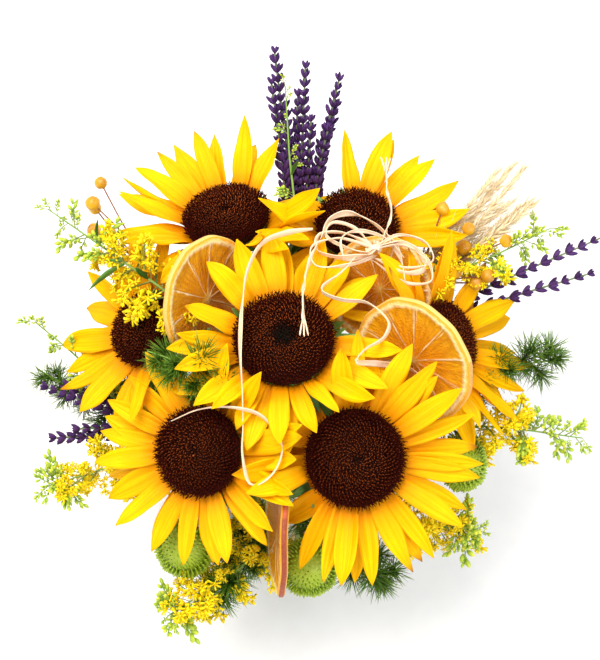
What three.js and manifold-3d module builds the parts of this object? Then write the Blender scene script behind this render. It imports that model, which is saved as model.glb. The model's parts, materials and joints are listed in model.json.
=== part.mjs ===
// A hand-tied posy of sunflowers, standing on its level-cut stem ends.
// Millimetres, +Z up. The origin is the middle of the cut end of the middle stem.
//
// The stems are laid in a spiral: each one leans the same way round the bunch, all of them
// cross at the tie, and they fan out again below it, so that the posy stands by itself.

import * as THREE from "three";
import { mergeVertices } from "three/addons/utils/BufferGeometryUtils.js";
import Module from "manifold-3d";

const wasm = await Module();
wasm.setup();

// ---------------------------------------------------------------- sizes of the whole bunch

const HEAD_HEIGHT = 240; // rim of the middle disc above the cut ends
const BUNCH_WIDTH = 400; // tip to tip across the longest sprays
const BIND_HEIGHT = 95; // where the stems are tied
const CLEARANCE = 0.4; // air left between pieces that touch

// ---------------------------------------------------------------- stems

const STEM_RADIUS = 4.5; // a sunflower stem
const MIDDLE_STEM_RADIUS = 5;
const SPRAY_STEM_RADIUS = 1.3; // the thin woody stems of the filler
const SUNFLOWER_RING = MIDDLE_STEM_RADIUS + STEM_RADIUS + 2.7; // six stems round the middle one
const SPRAY_RING = SUNFLOWER_RING + STEM_RADIUS + SPRAY_STEM_RADIUS + 2; // filler round the six
const SUNFLOWER_LEAN = 0.75; // run over rise of a stem above the tie
const SPRAY_LEAN = 0.82;
const FOOT_LEAN = 0.58; // share of that lean below the tie, where the stems are drawn in
const SPREAD_RISE = 22; // stems stay straight up to this far above the tie
const SPIRAL_TURN = 70; // degrees between where a stem crosses the tie and its head
const STEM_SPACING = 9.6; // least angle between two filler stems at the tie, in degrees

// ---------------------------------------------------------------- sunflower heads

const DISC_DEPTH = 8;
const DOME = 3; // how far the disc stands above its rim
const COLLAR_DEPTH = 3.6; // the flesh under the disc that the petals grow from
const CUP_DEPTH = 19; // green calyx under the petals
const PETAL_WIDTH = 15;
const PETAL_THICKNESS = 1.6;
const PETAL_CURVE = -14; // degrees a petal droops by its tip
const BRACTS = 7;

// azimuth and reach place the disc round the middle stem, drop is how far it sits below the
// middle one. leanTo and lean say which way it faces, rise how far its petals stand up from
// the plane of the head, in degrees. The first in the list lies on top.
const SUNFLOWERS = [
  { name: "middle", azimuth: 0, reach: 0, drop: 0, leanTo: -90, lean: 2, disc: 32, petal: 38, petals: 17, rise: 14 },
  { name: "front_right", azimuth: -58, reach: 78, drop: 26, leanTo: -84, lean: 28, disc: 31.5, petal: 44, petals: 17, rise: 10 },
  { name: "front_left", azimuth: -130, reach: 79, drop: 28, leanTo: -131, lean: 30, disc: 28.5, petal: 39, petals: 16, rise: 10 },
  { name: "back_right", azimuth: 63, reach: 99, drop: 16, leanTo: 15, lean: 7, disc: 27.5, petal: 43, petals: 16, rise: 24 },
  { name: "back_left", azimuth: 111, reach: 103, drop: 18, leanTo: 120, lean: 17, disc: 29, petal: 44, petals: 16, rise: 34 },
  { name: "left", azimuth: 167, reach: 88, drop: 26, leanTo: 193, lean: 31, disc: 24.5, petal: 41, petals: 15, rise: 14 },
  { name: "right", azimuth: 9, reach: 102, drop: 33, leanTo: -8, lean: 44, disc: 25, petal: 45, petals: 16, rise: 6 },
];

// ---------------------------------------------------------------- dried orange slices

const SLICE_THICKNESS = 5;
const PICK_RADIUS = 1.25; // split cane that each slice is pushed on to
const PICK_GRIP = 14; // how far the cane runs up into the slice

// faceTo and tilt say which way a slice faces, cane where its cane leaves the spiral.
const ORANGE_SLICES = [
  { name: "left", radius: 38, azimuth: 145, reach: 57, drop: 14, faceTo: -30, tilt: 66, cane: 154 },
  { name: "right", radius: 39, azimuth: -5, reach: 77, drop: 17, faceTo: -129, tilt: 64, cane: -16 },
  { name: "back", radius: 33, azimuth: 38, reach: 73, drop: 24, faceTo: -70, tilt: 33, cane: 40 },
  { name: "front", radius: 36, azimuth: -92, reach: 98, drop: 66, faceTo: 184, tilt: 83, cane: -92 },
];

// ---------------------------------------------------------------- filler

// Each route is the way the stem goes after the tie, as [azimuth, reach, drop] from the middle
// disc. The last stretch carries the flowers.
const LAVENDER = [
  { name: "back_left", route: [[92, 112, 70], [89, 130, 45], [92, 192, -20]], bare: 0.38 },
  { name: "back_middle", route: [[86, 116, 74], [86, 134, 48], [86, 182, -18]], bare: 0.38 },
  { name: "back_right", route: [[80, 118, 76], [82, 138, 50], [79, 178, -14]], bare: 0.38 },
  { name: "left_upper", route: [[190, 60, 105], [188, 98, 82], [180, 148, 68]], bare: 0.4 },
  { name: "left_lower", route: [[194, 62, 116], [192, 96, 96], [190, 146, 88]], bare: 0.4 },
  { name: "right_upper", route: [[32, 90, 84], [27, 124, 58], [24, 220, 35]], bare: 0.36 },
  { name: "right_lower", route: [[28, 96, 90], [24, 132, 66], [20, 204, 48]], bare: 0.38 },
];
const GOLDENROD = [
  { name: "left_back", route: [[148, 62, 60], [154, 72, 14], [149, 117, 14], [144, 186, 35]], bare: 0.42 },
  { name: "left", route: [[182, 74, 100], [183, 104, 76], [172, 130, 64], [166, 160, 56]], bare: 0.5 },
  { name: "front_left_side", route: [[203, 74, 112], [203, 106, 90], [201, 156, 92]], bare: 0.42 },
  { name: "front_left", route: [[252, 66, 122], [258, 98, 106], [241, 148, 122]], bare: 0.42 },
  { name: "front_right", route: [[310, 70, 118], [312, 98, 104], [325, 144, 99]], bare: 0.42 },
  { name: "right", route: [[350, 84, 104], [350, 128, 78], [351, 186, 80]], bare: 0.42 },
  { name: "back_right", route: [[36, 74, 84], [34, 102, 36], [29, 137, 28], [29, 189, 30]], bare: 0.45 },
  { name: "back", route: [[96, 72, 70], [86, 84, 24], [89, 136, 6], [90, 175, -6]], bare: 0.42 },
];
const FERN = [
  { name: "middle", route: [[208, 40, 70], [210, 47, 26], [194, 62, 6], [184, 80, 8]], bare: 0.5 },
  { name: "left", route: [[178, 84, 112], [180, 122, 84], [174, 156, 76]], bare: 0.5 },
  { name: "right", route: [[6, 96, 98], [6, 138, 70], [6, 178, 66]], bare: 0.5 },
  { name: "front_left", route: [[254, 70, 136], [256, 98, 118], [247, 132, 124]], bare: 0.44 },
  { name: "front_right", route: [[292, 72, 132], [296, 104, 116], [302, 130, 120]], bare: 0.44 },
];
const CHRYSANTHEMUMS = [
  { name: "front_left", route: [[236, 84, 122], [237, 112, 96]], radius: 20 },
  { name: "front", route: [[278, 78, 126], [278, 106, 102]], radius: 19 },
  { name: "right", route: [[336, 84, 106], [337, 118, 78]], radius: 18 },
];
const SEED_HEADS = [
  { name: "left", route: [[140, 78, 84], [139, 112, 50]], spread: [[133, 172, 30], [138, 163, 28], [137, 166, 40], [141, 156, 42], [143, 150, 33], [139, 148, 44]] },
  { name: "right", route: [[40, 80, 76], [36, 108, 40]], spread: [[37, 142, 20], [30, 158, 24], [25, 130, 34], [45, 138, 16], [32, 148, 32], [28, 104, 26]] },
];
const GRASS_EARS = [
  { name: "back", route: [[44, 96, 84], [40, 134, 40], [41, 190, 4]], bare: 0.5 },
  { name: "front", route: [[38, 100, 90], [36, 136, 46], [34, 184, 14]], bare: 0.5 },
];

// ---------------------------------------------------------------- raffia

const RAFFIA_WIDTH = 3.2;
const RAFFIA_THICKNESS = 1.6;
const BIND_WRAPS = 4;
const BIND_WRAP_RADIUS = 2; // half the width of one turn round the stems

// Where the loose ribbons go, from the knot on, as [azimuth, reach, drop].
const BOW_KNOT = [48, 80, 0];

// ================================================================ small tools

const UP = new THREE.Vector3(0, 0, 1);
const SPREAD = BUNCH_WIDTH / 400;

function radians(degrees) {
  return THREE.MathUtils.degToRad(degrees);
}

// A point round the middle stem, given as azimuth, reach and drop below the middle disc.
function around([azimuth, reach, drop]) {
  const turn = radians(azimuth);
  const out = reach * SPREAD;
  return new THREE.Vector3(out * Math.cos(turn), out * Math.sin(turn), HEAD_HEIGHT - drop);
}

// The direction that leans from the vertical towards an azimuth.
function leaning(azimuth, lean) {
  const side = Math.sin(radians(lean));
  return new THREE.Vector3(side * Math.cos(radians(azimuth)), side * Math.sin(radians(azimuth)), Math.cos(radians(lean)));
}

// A repeatable unevenness between -1 and 1, so that no two petals are alike.
function uneven(number) {
  return 2 * (Math.abs(Math.sin(number * 12.9898) * 43758.5453) % 1) - 1;
}

// Makes a solid that booleans can work on from a closed surface.
function solidOf(geometry) {
  const bare = geometry.clone();
  for (const name of Object.keys(bare.attributes)) {
    if (name !== "position") {
      bare.deleteAttribute(name);
    }
  }
  const merged = mergeVertices(bare, 1e-3);
  const at = merged.attributes.position.array;
  const index = merged.index.array;
  const kept = [];
  let volume = 0;
  for (let t = 0; t < index.length; t += 3) {
    const [a, b, c] = [index[t], index[t + 1], index[t + 2]];
    if (a === b || b === c || c === a) {
      continue;
    }
    kept.push([a, b, c]);
    const [p, q, r] = [a, b, c].map((v) => new THREE.Vector3(at[3 * v], at[3 * v + 1], at[3 * v + 2]));
    volume += p.dot(q.cross(r));
  }
  const facing = volume < 0 ? kept.map(([a, b, c]) => [a, c, b]) : kept;
  const mesh = new wasm.Mesh({
    numProp: 3,
    vertProperties: Float32Array.from(at),
    triVerts: Uint32Array.from(facing.flat()),
  });
  return new wasm.Manifold(mesh);
}

// One body minus another. The first is freed, as the boolean library keeps its own memory.
function minus(body, other) {
  const rest = body.subtract(other);
  rest.numTri();
  body.delete();
  return rest;
}

function joined(solids) {
  return solids.reduce((sum, next) => {
    const both = sum.add(next);
    both.numTri();
    sum.delete();
    next.delete();
    return both;
  });
}

// The frame of a head or slice: its local Z is the way it faces.
function facingFrame(centre, direction) {
  const turn = new THREE.Quaternion().setFromUnitVectors(UP, direction.clone().normalize());
  return new THREE.Matrix4().compose(centre, turn, new THREE.Vector3(1, 1, 1));
}

// A body of revolution about local Z. The profile runs [radius, height].
function turned(profile, sides) {
  const points = profile.map(([radius, height]) => new THREE.Vector2(Math.max(radius, 0), height));
  return new THREE.LatheGeometry(points, sides).rotateX(Math.PI / 2);
}

// A closed tube or ribbon along a route.
function tube(route, width, height, sides, steps) {
  const outline = new THREE.Shape();
  for (let k = 0; k < sides; k += 1) {
    const turn = (2 * Math.PI * (k + 0.5)) / sides;
    const [x, y] = [width * Math.cos(turn), height * Math.sin(turn)];
    if (k === 0) {
      outline.moveTo(x, y);
    } else {
      outline.lineTo(x, y);
    }
  }
  outline.closePath();
  return new THREE.ExtrudeGeometry(outline, { steps, extrudePath: route, bevelEnabled: false, curveSegments: 1 });
}

// Skin over a row of closed rings of points, with flat ends. The last may be a single point.
function skinned(rings) {
  const count = rings[0].length;
  const faces = [];
  for (let r = 0; r + 1 < rings.length; r += 1) {
    for (let k = 0; k < count; k += 1) {
      const next = (k + 1) % count;
      const [a, b] = [rings[r][k], rings[r][next]];
      if (rings[r + 1].length === 1) {
        faces.push(a, b, rings[r + 1][0]);
      } else {
        faces.push(a, b, rings[r + 1][next], a, rings[r + 1][next], rings[r + 1][k]);
      }
    }
  }
  for (let k = 1; k + 1 < count; k += 1) {
    faces.push(rings[0][0], rings[0][k + 1], rings[0][k]);
    if (rings.at(-1).length > 1) {
      faces.push(rings.at(-1)[0], rings.at(-1)[k], rings.at(-1)[k + 1]);
    }
  }
  return new THREE.BufferGeometry().setFromPoints(faces);
}

// A body along a route whose radius changes on the way, given as [place 0 to 1, radius].
function beaded(route, knots, sides) {
  const rings = knots.map(([t, radius]) => {
    const at = route.getPointAt(t);
    const along = route.getTangentAt(t);
    const side = new THREE.Vector3().crossVectors(along, Math.abs(along.z) > 0.99 ? new THREE.Vector3(1, 0, 0) : UP).normalize();
    const over = new THREE.Vector3().crossVectors(side, along);
    return Array.from({ length: sides }, (unused, k) => {
      const turn = (2 * Math.PI * k) / sides;
      return at.clone().addScaledVector(side, radius * Math.cos(turn)).addScaledVector(over, radius * Math.sin(turn));
    });
  });
  return solidOf(skinned(rings));
}

// ================================================================ the spiral of stems

// A point on the straight part of a stem, at a height above or below the tie.
function onSpiral(ring, lean, waist, rise) {
  const turn = radians(waist);
  const run = rise * lean * (rise < 0 ? FOOT_LEAN : 1);
  const x = ring * Math.cos(turn) - run * Math.sin(turn);
  const y = ring * Math.sin(turn) + run * Math.cos(turn);
  return new THREE.Vector3(x, y, BIND_HEIGHT + rise);
}

// The way a stem takes from below the table to its head.
function stemRoute(ring, lean, waist, upper) {
  const lower = [-BIND_HEIGHT - 6, -BIND_HEIGHT / 2, 0, SPREAD_RISE].map((rise) => onSpiral(ring, lean, waist, rise));
  return new THREE.CatmullRomCurve3([...lower, ...upper], false, "centripetal");
}

// Everything below the table is trimmed off, so that all stems end level.
const tableSide = 4 * BUNCH_WIDTH;
const belowTable = solidOf(new THREE.BoxGeometry(tableSide, tableSide, 40).translate(0, 0, -20));

function cutLevel(stem) {
  return minus(stem, belowTable);
}

// Gives each filler stem its own place at the tie, in the order of the heads.
function waistPlaces(azimuths) {
  const order = azimuths.map((azimuth, k) => ({ k, at: azimuth - SPIRAL_TURN })).sort((a, b) => a.at - b.at);
  for (let pass = 0; pass < 400; pass += 1) {
    for (let k = 0; k < order.length; k += 1) {
      const next = order[(k + 1) % order.length];
      const turn = k + 1 === order.length ? 360 : 0;
      const short = STEM_SPACING - (next.at + turn - order[k].at);
      if (short > 0) {
        order[k].at -= short / 2;
        next.at += short / 2;
      }
    }
  }
  const places = [];
  for (const { k, at } of order) {
    places[k] = at;
  }
  return places;
}

// ================================================================ sunflowers

for (const flower of SUNFLOWERS) {
  flower.centre = around([flower.azimuth, flower.reach, flower.drop]);
  flower.facing = leaning(flower.leanTo, flower.lean);
  flower.frame = facingFrame(flower.centre, flower.facing);
  flower.inverse = flower.frame.clone().invert();
}

for (const slice of ORANGE_SLICES) {
  slice.centre = around([slice.azimuth, slice.reach, slice.drop]);
  slice.facing = leaning(slice.faceTo, slice.tilt);
  slice.frame = facingFrame(slice.centre, slice.facing);
  slice.inverse = slice.frame.clone().invert();
}

// The seeded disc: a low dome with a dimple in the middle.
function discSolid(flower, grow) {
  const r = flower.disc + grow;
  const profile = [
    [0, DOME * 0.4 + grow],
    [r * 0.5, DOME + grow],
    [r * 0.85, DOME * 0.6 + grow],
    [r, -DOME * 0.7],
    [r * 0.97, -DISC_DEPTH - grow],
    [0, -DISC_DEPTH - grow],
  ];
  return solidOf(turned(profile, 18).applyMatrix4(flower.frame));
}

// The line down the middle of a petal, in the frame of its head. Lift is the slope it starts
// at, and size the share of its full length that it grew to.
const PETAL_STATIONS = [0, 0.38, 0.74, 1];
const PETAL_WIDTHS = [0.5, 1, 0.74, 0];

function petalLine(flower, { lift, row, size }) {
  const root = row === 0 ? -DISC_DEPTH - COLLAR_DEPTH * 0.3 : -DISC_DEPTH - COLLAR_DEPTH * 0.8;
  const line = [new THREE.Vector2(flower.disc * 0.86, root)];
  for (let k = 1; k < PETAL_STATIONS.length; k += 1) {
    const run = (PETAL_STATIONS[k] - PETAL_STATIONS[k - 1]) * (flower.petal * size + flower.disc * 0.14);
    const slope = radians(lift + PETAL_CURVE * PETAL_STATIONS[k]);
    line.push(new THREE.Vector2(line[k - 1].x + run * Math.cos(slope), line[k - 1].y + run * Math.sin(slope)));
  }
  return line;
}

// What petals have to miss: flat patches such as other petals, and round things such as stems.
const patches = [];
const beads = [];

function depthInPatches(flower, point) {
  let depth = 0;
  for (const { owner, at, normal, wide, deep } of patches) {
    if (owner === flower) {
      continue;
    }
    const [x, y, z] = [point.x - at.x, point.y - at.y, point.z - at.z];
    const off = Math.abs(x * normal.x + y * normal.y + z * normal.z);
    const span = x * x + y * y + z * z;
    if (off < deep && span - off * off < wide * wide) {
      depth = Math.max(depth, deep - off);
    }
  }
  for (const { at, radius } of beads) {
    const span = Math.hypot(point.x - at.x, point.y - at.y, point.z - at.z);
    depth = Math.max(depth, radius - span);
  }
  return depth;
}

function depthInHeads(flower, point) {
  let depth = 0;
  for (const other of SUNFLOWERS) {
    if (other === flower) {
      continue;
    }
    const p = point.clone().applyMatrix4(other.inverse);
    const left = Math.min(other.disc + 3 - Math.hypot(p.x, p.y), DOME + 3 - p.z, p.z + DISC_DEPTH + CUP_DEPTH + 4);
    depth = Math.max(depth, 1.5 * left);
  }
  return depth;
}

// Points spread over a petal, in the frame of the bunch.
function petalPoints(flower, turn, line) {
  const points = [];
  for (let k = 1; k < line.length; k += 1) {
    for (const share of [0.5, 1]) {
      const at = line[k - 1].clone().lerp(line[k], share);
      const half = 0.4 * PETAL_WIDTH * THREE.MathUtils.lerp(PETAL_WIDTHS[k - 1], PETAL_WIDTHS[k], share);
      for (const side of [-half, 0, half]) {
        const x = at.x * Math.cos(turn) - side * Math.sin(turn);
        const y = at.x * Math.sin(turn) + side * Math.cos(turn);
        points.push(new THREE.Vector3(x, y, at.y).applyMatrix4(flower.frame));
      }
    }
  }
  return points;
}

// Petals give way to what is there already: each takes the slope and length nearest its own
// that is free.
function settle(flower, petal) {
  let least = Infinity;
  let best = petal;
  for (const size of [1, 0.84, 0.68, 0.52]) {
    for (let lift = -75; lift <= 75; lift += 5) {
      const trial = { ...petal, lift, size };
      let cost = 0.003 * (lift - petal.lift) ** 2 + 60 * (1 - size) ** 2;
      for (const point of petalPoints(flower, petal.turn, petalLine(flower, trial))) {
        cost += Math.max(depthInPatches(flower, point), depthInHeads(flower, point)) ** 2;
      }
      if (cost < least) {
        least = cost;
        best = trial;
      }
    }
  }
  return best;
}

function settlePetals(flower, rank) {
  flower.turns = [];
  for (let k = 0; k < flower.petals; k += 1) {
    const row = k % 2;
    const turn = (2 * Math.PI * (k + 0.25 * uneven(rank * 50 + k))) / flower.petals;
    const lift = flower.rise + (row === 0 ? 5 : -7) + 4 * uneven(rank * 70 + k + 9);
    flower.turns.push(settle(flower, { turn, row, lift }));
  }
  for (const petal of flower.turns) {
    const line = petalLine(flower, petal);
    for (let k = 1; k < line.length; k += 1) {
      const along = line[k].clone().sub(line[k - 1]).normalize();
      const normal = new THREE.Vector3(-along.y * Math.cos(petal.turn), -along.y * Math.sin(petal.turn), along.x);
      for (const share of [0.35, 0.85]) {
        const at = line[k - 1].clone().lerp(line[k], share);
        const centre = new THREE.Vector3(at.x * Math.cos(petal.turn), at.x * Math.sin(petal.turn), at.y);
        patches.push({
          owner: flower,
          at: centre.applyMatrix4(flower.frame),
          normal: normal.clone().transformDirection(flower.frame),
          wide: PETAL_WIDTH / 2 + 1,
          deep: PETAL_THICKNESS + 1,
        });
      }
    }
  }
}

// One pointed petal, thin and slightly cupped.
function petalSolid(flower, petal, grow) {
  const { turn } = petal;
  const line = petalLine(flower, petal);
  const rings = line.map((at, k) => {
    const half = (PETAL_WIDTH / 2) * PETAL_WIDTHS[k] + grow;
    const thick = PETAL_THICKNESS / 2 + grow;
    const before = line[Math.max(k - 1, 0)];
    const after = line[Math.min(k + 1, line.length - 1)];
    const slope = Math.atan2(after.y - before.y, after.x - before.x);
    if (k === line.length - 1) {
      return [new THREE.Vector3(at.x * Math.cos(turn), at.x * Math.sin(turn), at.y)];
    }
    const keel = grow > 0 ? [[-0.8 * half, -thick], [0.8 * half, -thick]] : [[0, -thick]];
    return [[-half, thick], ...keel, [half, thick]].map(([side, rise]) => {
      const x = at.x - rise * Math.sin(slope);
      const z = at.y + rise * Math.cos(slope);
      return new THREE.Vector3(x * Math.cos(turn) - side * Math.sin(turn), x * Math.sin(turn) + side * Math.cos(turn), z);
    });
  });
  return solidOf(skinned(rings).applyMatrix4(flower.frame));
}

// All petals of one head, held together by the flesh they grow from.
function petalsSolid(flower, grow) {
  const outer = flower.disc * 0.95 + grow;
  const top = -DISC_DEPTH - CLEARANCE + grow;
  const bottom = -DISC_DEPTH - COLLAR_DEPTH - grow;
  const profile = [[0, bottom], [outer, bottom], [outer, top], [0, top]];
  const ring = solidOf(turned(profile, 12).applyMatrix4(flower.frame));
  return joined([ring, ...flower.turns.map((petal) => petalSolid(flower, petal, grow))]);
}

// The green cup under the petals, edged with pointed bracts, and the stem down to its cut end.
function stemSolid(flower, grow) {
  const floor = -DISC_DEPTH - COLLAR_DEPTH - CLEARANCE;
  const neck = floor - CUP_DEPTH;
  const radius = flower.reach === 0 ? MIDDLE_STEM_RADIUS : STEM_RADIUS;
  const levels = [
    [radius, radius, neck - 1 - grow],
    [flower.disc * 0.6, flower.disc * 0.6, floor - CUP_DEPTH * 0.45 - grow],
    [flower.disc * 0.8, flower.disc * 1.22, floor - 5 - grow],
    [flower.disc * 0.86, flower.disc * 1.28, floor - 4 + grow],
    [flower.disc * 0.7, flower.disc * 0.7, floor + grow],
  ];
  const rings = levels.map(([valley, tip, z]) => {
    return Array.from({ length: 2 * BRACTS }, (unused, k) => {
      const turn = (Math.PI * k) / BRACTS;
      const out = (k % 2 === 0 ? tip : valley) + grow;
      return new THREE.Vector3(out * Math.cos(turn), out * Math.sin(turn), z);
    });
  });
  const pieces = [solidOf(skinned(rings).applyMatrix4(flower.frame))];
  const base = new THREE.Vector3(0, 0, neck).applyMatrix4(flower.frame);
  const below = new THREE.Vector3(0, 0, neck - 24).applyMatrix4(flower.frame);
  const within = new THREE.Vector3(0, 0, neck + 6).applyMatrix4(flower.frame);
  const waist = THREE.MathUtils.radToDeg(Math.atan2(below.y, below.x)) - SPIRAL_TURN;
  const route =
    flower.reach === 0
      ? new THREE.CatmullRomCurve3([new THREE.Vector3(0, 0, -6), new THREE.Vector3(0, 0, BIND_HEIGHT), below, base, within])
      : stemRoute(SUNFLOWER_RING, SUNFLOWER_LEAN, waist, [below, base, within]);
  pieces.push(solidOf(tube(route, radius + grow, radius + grow, 6, 10)));
  return cutLevel(joined(pieces));
}

// ================================================================ orange slices

function sliceSolid(slice, grow) {
  const [r, half] = [slice.radius + grow, SLICE_THICKNESS / 2 + grow];
  const profile = [[0, -half * 0.7], [r * 0.86, -half * 0.6], [r * 0.93, -half], [r, -half * 0.5]];
  const other = profile.map(([radius, z]) => [radius, -z]).reverse();
  return solidOf(turned([...profile, ...other], 22).applyMatrix4(slice.frame));
}

// The lowest point of a slice's rim, where the cane goes in.
function slicePickEnd(slice) {
  const down = new THREE.Vector3(0, 0, -1).projectOnPlane(slice.facing).normalize();
  return {
    rim: slice.centre.clone().addScaledVector(down, slice.radius + 2),
    tip: slice.centre.clone().addScaledVector(down, slice.radius - PICK_GRIP),
    below: slice.centre.clone().addScaledVector(down, slice.radius + 16),
  };
}

function pickRoute(slice) {
  const { rim, tip, below } = slicePickEnd(slice);
  return stemRoute(SPRAY_RING, SPRAY_LEAN, slice.waist, [below, rim, tip]);
}

// ================================================================ filler

function fillerRoute(piece) {
  return stemRoute(SPRAY_RING, SPRAY_LEAN, piece.waist, piece.route.map(around));
}

function fillerStem(route, grow) {
  return beaded(route, plainKnots(1, grow), 4);
}

// Sideways directions at a place on a route.
function across(route, t, turn) {
  const along = route.getTangentAt(t);
  const side = new THREE.Vector3().crossVectors(along, UP).normalize();
  const over = new THREE.Vector3().crossVectors(side, along);
  return side.multiplyScalar(Math.cos(turn)).addScaledVector(over, Math.sin(turn));
}

// A straight twig from one point to another.
function twig(from, to, radius) {
  return solidOf(tube(new THREE.LineCurve3(from, to), radius, radius, 3, 1));
}

// The knots of a plain stem, few on its straight lower part and close together above.
function plainKnots(upTo, grow) {
  const radius = SPRAY_STEM_RADIUS + grow;
  const bends = 9;
  const upper = Array.from({ length: bends }, (unused, k) => [0.48 + ((upTo - 0.48) * (k + 1)) / bends, radius]);
  return [[0, radius], [0.28, radius], [0.48, radius], ...upper];
}

// Lavender: whorls of buds strung along the upper part of the stem.
function lavenderSolid(piece, grow) {
  const whorls = 7;
  const start = 1 - piece.bare;
  const knots = plainKnots(start, grow);
  for (let k = 0; k < whorls; k += 1) {
    const [low, high] = [k, k + 1].map((n) => start + piece.bare * (n / whorls) ** 0.9);
    knots.push([low + (high - low) * 0.45, 4.8 - (2 * k) / whorls + grow]);
    knots.push([high, k + 1 < whorls ? 1.9 + grow : 0.6 + grow]);
  }
  return cutLevel(beaded(fillerRoute(piece), knots, 5));
}

// Goldenrod: side twigs that each end in a cluster of small flowers, shorter towards the tip.
function goldenrodSolid(piece, grow) {
  const route = fillerRoute(piece);
  const tip = [[0.985, 2.6 + grow], [1, 0.6]];
  const parts = [beaded(route, [...plainKnots(0.965, grow), ...tip], 4)];
  const twigs = 6;
  for (let k = 0; k < twigs; k += 1) {
    const t = Math.min(1 - piece.bare * (1 - (k + 0.3) / twigs), 0.98);
    const from = route.getPointAt(t);
    const reach = 21 - (11 * k) / twigs;
    const to = from.clone().addScaledVector(across(route, t, 2.4 * k), reach).addScaledVector(route.getTangentAt(t), reach * 0.9);
    const size = 3.8 + 0.8 * uneven(k * 3) + grow;
    const cluster = [[0, 0.9 + grow], [0.55, 0.9 + grow], [0.78, size], [1, size * 0.3]];
    parts.push(beaded(new THREE.LineCurve3(from, to), cluster, 4));
  }
  return cutLevel(joined(parts));
}

// Asparagus fern: tufts of needles along the stem and its side twigs.
function fernSolid(piece, grow) {
  const route = fillerRoute(piece);
  const parts = [fillerStem(route, grow)];
  const tufts = 4;
  for (let k = 0; k < tufts; k += 1) {
    const t = Math.min(1 - piece.bare * 0.8 * (1 - (k + 0.5) / tufts), 0.985);
    const from = route.getPointAt(t);
    for (let n = 0; n < 3; n += 1) {
      const reach = 15 - 4 * Math.abs(uneven(k * 5 + n));
      const to = from.clone().addScaledVector(across(route, t, 2.1 * n + 0.7 * k), reach);
      to.addScaledVector(route.getTangentAt(t), 7 + 4 * uneven(k + 7 * n));
      const needle = new THREE.ConeGeometry(1.5 + grow, from.distanceTo(to) + grow, 3).translate(0, from.distanceTo(to) / 2, 0);
      const turn = new THREE.Quaternion().setFromUnitVectors(new THREE.Vector3(0, 1, 0), to.clone().sub(from).normalize());
      needle.applyQuaternion(turn).translate(from.x, from.y, from.z);
      parts.push(solidOf(needle));
    }
  }
  return cutLevel(joined(parts));
}

// Button chrysanthemum: a dome of packed florets on a firm stem.
function chrysanthemumSolid(piece, grow) {
  const route = fillerRoute(piece);
  const r = piece.radius + grow;
  const profile = [[0, -r * 0.5 - grow], [r * 0.6, -r * 0.42], [r, 0], [r * 0.9, r * 0.36], [r * 0.5, r * 0.6], [0, r * 0.66 + grow]];
  const facing = leaning(piece.route[1][0], 38);
  const head = turned(profile, 12).applyMatrix4(facingFrame(route.getPointAt(1), facing));
  return cutLevel(joined([fillerStem(route, grow), solidOf(head)]));
}

// Round seed heads on wiry stalks that fan out from one stem.
function seedHeadSolid(piece, grow) {
  const route = fillerRoute(piece);
  const parts = [fillerStem(route, grow)];
  for (const place of piece.spread) {
    const at = around(place);
    parts.push(twig(route.getPointAt(0.96), at, 0.6 + grow));
    parts.push(solidOf(new THREE.OctahedronGeometry(4.8 + grow, 0).translate(at.x, at.y, at.z)));
  }
  return cutLevel(joined(parts));
}

// A cream grass ear: spikelets packed along the upper stem.
function grassSolid(piece, grow) {
  const whorls = 5;
  const start = 1 - piece.bare * 0.55;
  const knots = plainKnots(start, grow);
  for (let k = 0; k < whorls; k += 1) {
    const step = (piece.bare * 0.55) / whorls;
    knots.push([start + step * (k + 0.4), 4.6 - 0.4 * k + grow]);
    knots.push([start + step * (k + 1), k + 1 < whorls ? 3 + grow : 0.6 + grow]);
  }
  return cutLevel(beaded(fillerRoute(piece), knots, 5));
}

// ================================================================ raffia

// The turns that hold the stems together. Its inside clears the outermost stems.
function bindingSolid(grow) {
  const inner = SPRAY_RING + SPRAY_STEM_RADIUS + CLEARANCE + 1.2 - grow;
  const wrap = BIND_WRAP_RADIUS;
  const profile = [];
  for (let k = 0; k < BIND_WRAPS; k += 1) {
    const middle = (k - (BIND_WRAPS - 1) / 2) * wrap * 2;
    profile.push([inner + wrap * 1.1 + grow, middle - wrap], [inner + wrap * 2 + grow, middle]);
  }
  const top = BIND_WRAPS * wrap + grow;
  const body = [[inner, -top], [inner + wrap + grow, -top], ...profile, [inner + wrap + grow, top], [inner, top], [inner, -top]];
  return solidOf(turned(body, 16).translate(0, 0, BIND_HEIGHT));
}

function ribbonRoute(places) {
  return new THREE.CatmullRomCurve3(places.map(around), false, "centripetal");
}

function ribbonSolid(places, grow, steps) {
  const [wide, thick] = [RAFFIA_WIDTH / 2 + grow, RAFFIA_THICKNESS / 2 + grow];
  return solidOf(tube(ribbonRoute(places), wide * 1.4, thick * 1.4, 4, steps));
}

// ================================================================ everything in its place

const BOW = [
  [BOW_KNOT, [43, 92, -2], [35, 99, 0], [30, 97, 6], [33, 84, 6], [46, 76, 3]],
  [BOW_KNOT, [62, 76, -4], [72, 68, -6], [70, 58, -6], [54, 62, -5], [46, 77, 1]],
  [[71, 65, -7], [70, 82, -6], [64, 91, -4], [53, 94, 0], [40, 90, 4], [28, 82, 6]],
  [[45, 79, 0], [50, 96, 0], [53, 107, 0], [58, 118, 2], [63, 136, 0]],
  [[71, 64, -7], [71, 46, -10], [65, 27, -11], [44, 16, -10], [0, 12, -9]],
];
const TRAIL_LEFT = [
  [76, 70, -8], [88, 64, -10], [102, 58, -11], [117, 45, -11], [142, 30, -11], [-151, 28, -10], [-122, 44, 2],
  [-113, 59, 10], [-108, 74, 12], [-102, 87, 18], [-95, 79, 19], [-91, 64, 14], [-104, 50, 8], [-121, 54, 0],
  [-138, 65, 8], [-144, 80, 16],
];
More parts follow.
